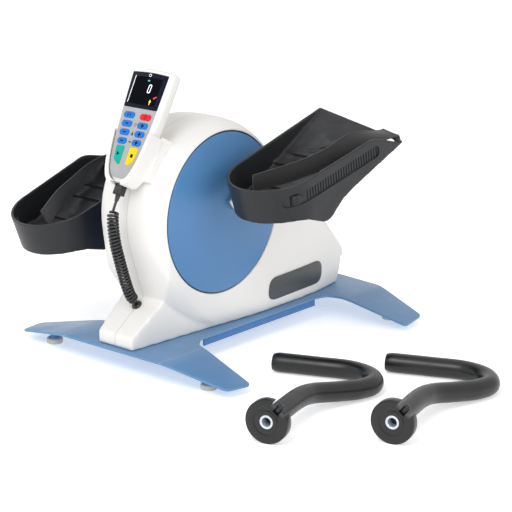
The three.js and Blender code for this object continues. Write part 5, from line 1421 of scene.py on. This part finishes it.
# %% Display
EDGE_TURN, DASH_TURN = 1.3, -35
screen = rounded([(-27.4, 5.8, 1), (26.6, 5.8, 1), (27.4, 49.4, 1), (0, 51.2, 12), (-27.4, 50.2, 1)])
on_handset("screen_field", printed([screen], FIELD_LAYER), SCREEN_DARK)
digit = rounded([(2.8, 25.5, 2.5), (9.2, 25.5, 2.5), (9.9, 39.5, 2.5), (3.5, 39.5, 2.5)])
digit_hole = rounded([(4.2, 26.9, 1.4), (7.8, 26.9, 1.4), (8.5, 38.1, 1.4), (4.9, 38.1, 1.4)])
MARKS = [("digit", digit, [digit_hole], MARK_WHITE),
         ("edge", bar_sign(-29.8, 28.9, 0.9, 44, EDGE_TURN), [], MARK_WHITE),
         ("ring", round_sign(-0.5, 54, 5, 5), [round_sign(-0.5, 54, 3.6, 3.6)], MARK_WHITE),
         ("spot", round_sign(0, 45.2, 4.6, 2.6), [], MARK_GREEN),
         ("dash", bar_sign(22.8, 19.6, 6.5, 2.2, DASH_TURN), [], MARK_RED),
         ("arrow", arrow_sign(15, 11.7, 4.2), [], MARK_YELLOW)]
for label, outline, holes, look in MARKS:
    on_handset(f"display_{label}", printed([outline], MARK_LAYER, holes), look)

# %% [markdown]
# ## Cradle
# The handset's lower half drops into a trough on the drum. The trough is the handset's own outline,
# grown by a wall, with the grown handset taken out of it, so it always fits. It is melted for soft
# edges, and last the housing's form is taken away so that its bracket sits tight on the drum.

# %% Cradle
CRADLE_BACK, CRADLE_WALL, CRADLE_TOP, CRADLE_GAP = HANDSET_DEPTH + 3.0, 3.5, -37, 0.5
FRONT_LIP, PLUG_ROOM_HALF = 2.2, 11
BRACKET_HALF, BRACKET_FOOT, BRACKET_TOP, BRACKET_REACH = 38.5, 14, -33, 98


def cradle_mesh():
    back, outer = CRADLE_BACK, CRADLE_WALL
    trough = common(handset_slab([(-4, -outer), (back, -outer)]),
                    block((-200, -200, -200), (200, 200, CRADLE_TOP)))
    room = handset_slab([(-CRADLE_GAP, -CRADLE_GAP), (HANDSET_DEPTH + CRADLE_GAP, -CRADLE_GAP)])
    plug_room = block((-PLUG_ROOM_HALF, -5, -HANDSET_BOTTOM - outer - 1),
                      (PLUG_ROOM_HALF, back - 3, -HANDSET_BOTTOM + 1))
    trough = cut(trough, room, handset_slab([(-5, FRONT_LIP), (0.25, FRONT_LIP)]), plug_room)
    bracket = block((-BRACKET_HALF, back - 1.25, BRACKET_FOOT - HANDSET_BOTTOM),
                    (BRACKET_HALF, BRACKET_REACH, BRACKET_TOP))
    body = moved(melted(joined(trough, bracket), voxel=1.1, rounds=4), HANDSET)
    return cut(body, housing_form(-SEAT_GAP))


piece("handset_cradle", cradle_mesh(), OFF_WHITE, "base", ["cradle"], sharp=32)

# %% [markdown]
# ## Plug, strain relief and gland
# The plug is a small ribbed block, and a relief sleeve with rings lets the cord bend. The gland on the
# nose is a smooth dome. All three are black, like the cord.

# %% Plug and gland
PLUG_HALF, GROOVE_COUNT, GROOVE_TOP, GROOVE_PITCH, GROOVE_DEEP, GROOVE_HALF = 7, 4, 5, 2.6, 0.7, 0.6
RELIEF_RINGS, RELIEF_PITCH, RELIEF_WIDE, RELIEF_TAPER = 5, 1.9, 4.2, 0.24
GLAND_PROFILE = [[0, -4.5], [6, -4.5], [6, 0.3], [8.2, 0.3], [8.5, 0.7], [8.3, 1.8], [7.4, 3.2], [5.6, 4.4],
                 [3.4, GLAND_HEIGHT], [0, GLAND_HEIGHT]]


def plug_mesh():
    top = -HANDSET_BOTTOM - SEAT_GAP
    front, rear = PLUG_DEEP - PLUG_HALF, PLUG_DEEP + PLUG_HALF
    corners = [(-PLUG_HALF, front), (PLUG_HALF, front), (PLUG_HALF, rear), (-PLUG_HALF, rear)]
    outline = rounded([(x, y, 1.5) for x, y in corners], steps=4)
    body = bevelled(prism(outline, "z", top - PLUG_HEIGHT, top), 0.7, segments=2, angle=50)
    for i in range(GROOVE_COUNT):
        z = top - GROOVE_TOP - i * GROOVE_PITCH
        for side, _ in SIDES:
            low, high = span(side, PLUG_HALF - GROOVE_DEEP, PLUG_HALF + 2)
            body = cut(body, block((low, front + 2, z - GROOVE_HALF), (high, rear - 2, z + GROOVE_HALF)))
    return body


def relief_mesh():
    top = -HANDSET_BOTTOM - SEAT_GAP - PLUG_HEIGHT
    profile = [[0, top + 1], [4.3, top + 1], [4.3, top - 0.6]]
    for i in range(RELIEF_RINGS):
        radius, z = RELIEF_WIDE - i * RELIEF_TAPER, top - 0.8 - i * RELIEF_PITCH
        profile += [[radius, z], [radius, z - 1.0], [radius - 0.7, z - 1.2], [radius - 0.7, z - 1.8]]
    return turned(profile + [[0, top - RELIEF_LENGTH]], "z", 0, PLUG_DEEP, sides=32)


on_handset("plug_block", plug_mesh(), CORD_BLACK, ["cord_plug"])
on_handset("plug_relief", relief_mesh(), CORD_BLACK)
gland = moved(turned(GLAND_PROFILE, "z"), GLAND)
piece("gland_dome", gland, CORD_BLACK, "base", ["cord_gland"])

# %% [markdown]
# ## Hand grips
# Two padded bars stand on the floor on their flanges. The bar leaves the flange square, bends round and
# lies on the floor. A tube along a smooth route makes it, with its end rounded off. The flange has a
# bushed bore and a notch with a locking pin.

# %% Grip parts
GRIP_HUB, GRIP_TURN, HUB_THICK, GRIP_RADIUS = (382.7, -266.8, 33.1), 15.0, 15.0, 15.5
GRIP_STEP, NECK_LONG, FLOOR_REST = (135.0, 115.0), 40, 0.2
GRIP_ROUTE = [(352.1, -149.9, 0.908), (350.2, -120.1, 0.707), (362, -73.9, 0.305), (373.1, -36, 0.075),
              (373.9, -4, 0), (352.1, 20, 0), (311.9, 25.9, 0), (257.9, 5.9, 0), (192.9, -21.3, 0)]
END_SHARES = (0.86, 0.93, 0.975, 0.995)
FLANGE_PROFILE = [[10.8, 0], [31.4, 0], [32.6, 0.5], [33, 1.6], [33, 13.4], [32.4, 14.6], [31.2, 15],
                  [10.8, 15], [10.8, 0]]
FLANGE_GROOVE = [[17, -1], [20, -1], [20, 0.8], [17, 0.8], [17, -1]]
LOCK_PROFILE = [[0, 20.3], [4.6, 20.3], [5, 20.9], [5, 31.5], [4.6, 33], [3.6, 34], [0, 34.5]]
BUSHING_PROFILE = [[7, 0.6], [7.6, 0], [9.9, 0], [10.5, 0.6], [10.5, 14.4], [9.9, 15], [7.6, 15], [7, 14.4],
                   [7, 0.6]]
NOTCH_LOW, NOTCH_HIGH = (20, -1, -13), (66, 16, 13)
NOTCH_TURN = Matrix.Rotation(-math.radians(50), 4, "Y")
ROUTE_PLACES = 150


def grip_frame(number):
    step_x, step_y = GRIP_STEP
    shift = Vector(((number - 1) * step_x, (number - 1) * step_y, FLOOR_Z))
    hub = Matrix.Translation(Vector(GRIP_HUB)) @ Matrix.Rotation(math.radians(GRIP_TURN), 4, "Z")
    return Matrix.Translation(shift), hub


def grip_tube(hub):
    start, neck = [hub @ Vector((0, HUB_THICK + SEAT_GAP + away, 0)) for away in (0, NECK_LONG)]
    rest = GRIP_RADIUS + FLOOR_REST
    lie = [(x, y, rest + share * (GRIP_HUB[2] - rest)) for x, y, share in GRIP_ROUTE]
    route = evenly(smooth_route([start, start.lerp(neck, 0.1), neck, *lie], 30), ROUTE_PLACES)
    radii = [GRIP_RADIUS] * len(route)
    for i, share in enumerate(END_SHARES):
        radii[-1 - i] = GRIP_RADIUS * share
    return tube(route, radii, sides=40)


def grip_hub():
    flange, groove = [turned(profile, "y", sides=96) for profile in (FLANGE_PROFILE, FLANGE_GROOVE)]
    notch = moved(block(NOTCH_LOW, NOTCH_HIGH), NOTCH_TURN)
    return bevelled(cut(flange, groove, notch), 0.5, segments=2, angle=45)


def lock_pin():
    return moved(turned(LOCK_PROFILE, "x", HUB_THICK / 2, 0, sides=32), NOTCH_TURN)


for number in (1, 2):
    shift, hub = grip_frame(number)
    place, body = shift @ hub, f"grip_{number}"
    piece(f"{body}_bar", moved(grip_tube(hub), shift), GRIP_BLACK, body, [f"{body}_tube"])
    piece(f"{body}_flange", moved(grip_hub(), place), GRIP_BLACK, body, [f"{body}_hub"])
    bush = turned(BUSHING_PROFILE, "y", sides=48)
    piece(f"{body}_bush", moved(bush, place), BUSHING, body, [f"{body}_bushing"])
    piece(f"{body}_catch", moved(lock_pin(), place), GRIP_BLACK, f"lock_pin_{number}",
          [f"{body}_lock_pin"])

# %% [markdown]
# ## The inner parts
# Bearings, belt, motor and board sit inside the closed housing. Their drawn shapes are right as they
# are, so they only get finishes of their own kind. The mains socket also gets its three blades.

# %% Finishes for the inner parts
INNER = {"crank_axle": STEEL, "bearing_right": STEEL, "bearing_left": STEEL, "inner_frame": DULL_METAL,
         "drive_pulley": DULL_METAL, "drive_belt": CORD_BLACK, "motor": DULL_METAL, "motor_pulley": STEEL,
         "circuit_board": BOARD_GREEN, "power_inlet": CORD_BLACK}
for name, look in INNER.items():
    for slot in nodes[name].material_slots:
        slot.material = look
BLADES = {"m5_24": (-5, 24), "5_24": (5, 24), "0_29": (0, 29)}
BLADE_REAR, BLADE_FRONT, HALF_WIDE, HALF_HIGH = 326, 333.5, 1, 1.6
for name, (x, z) in BLADES.items():
    blade = block((x - HALF_WIDE, BLADE_REAR, z - HALF_HIGH), (x + HALF_WIDE, BLADE_FRONT, z + HALF_HIGH))
    piece(f"inlet_blade_{name}", bevelled(blade, 0.3, segments=2), STEEL, "base")
print("inner parts", len(INNER))

# %% Update the scene
bpy.context.view_layer.update()
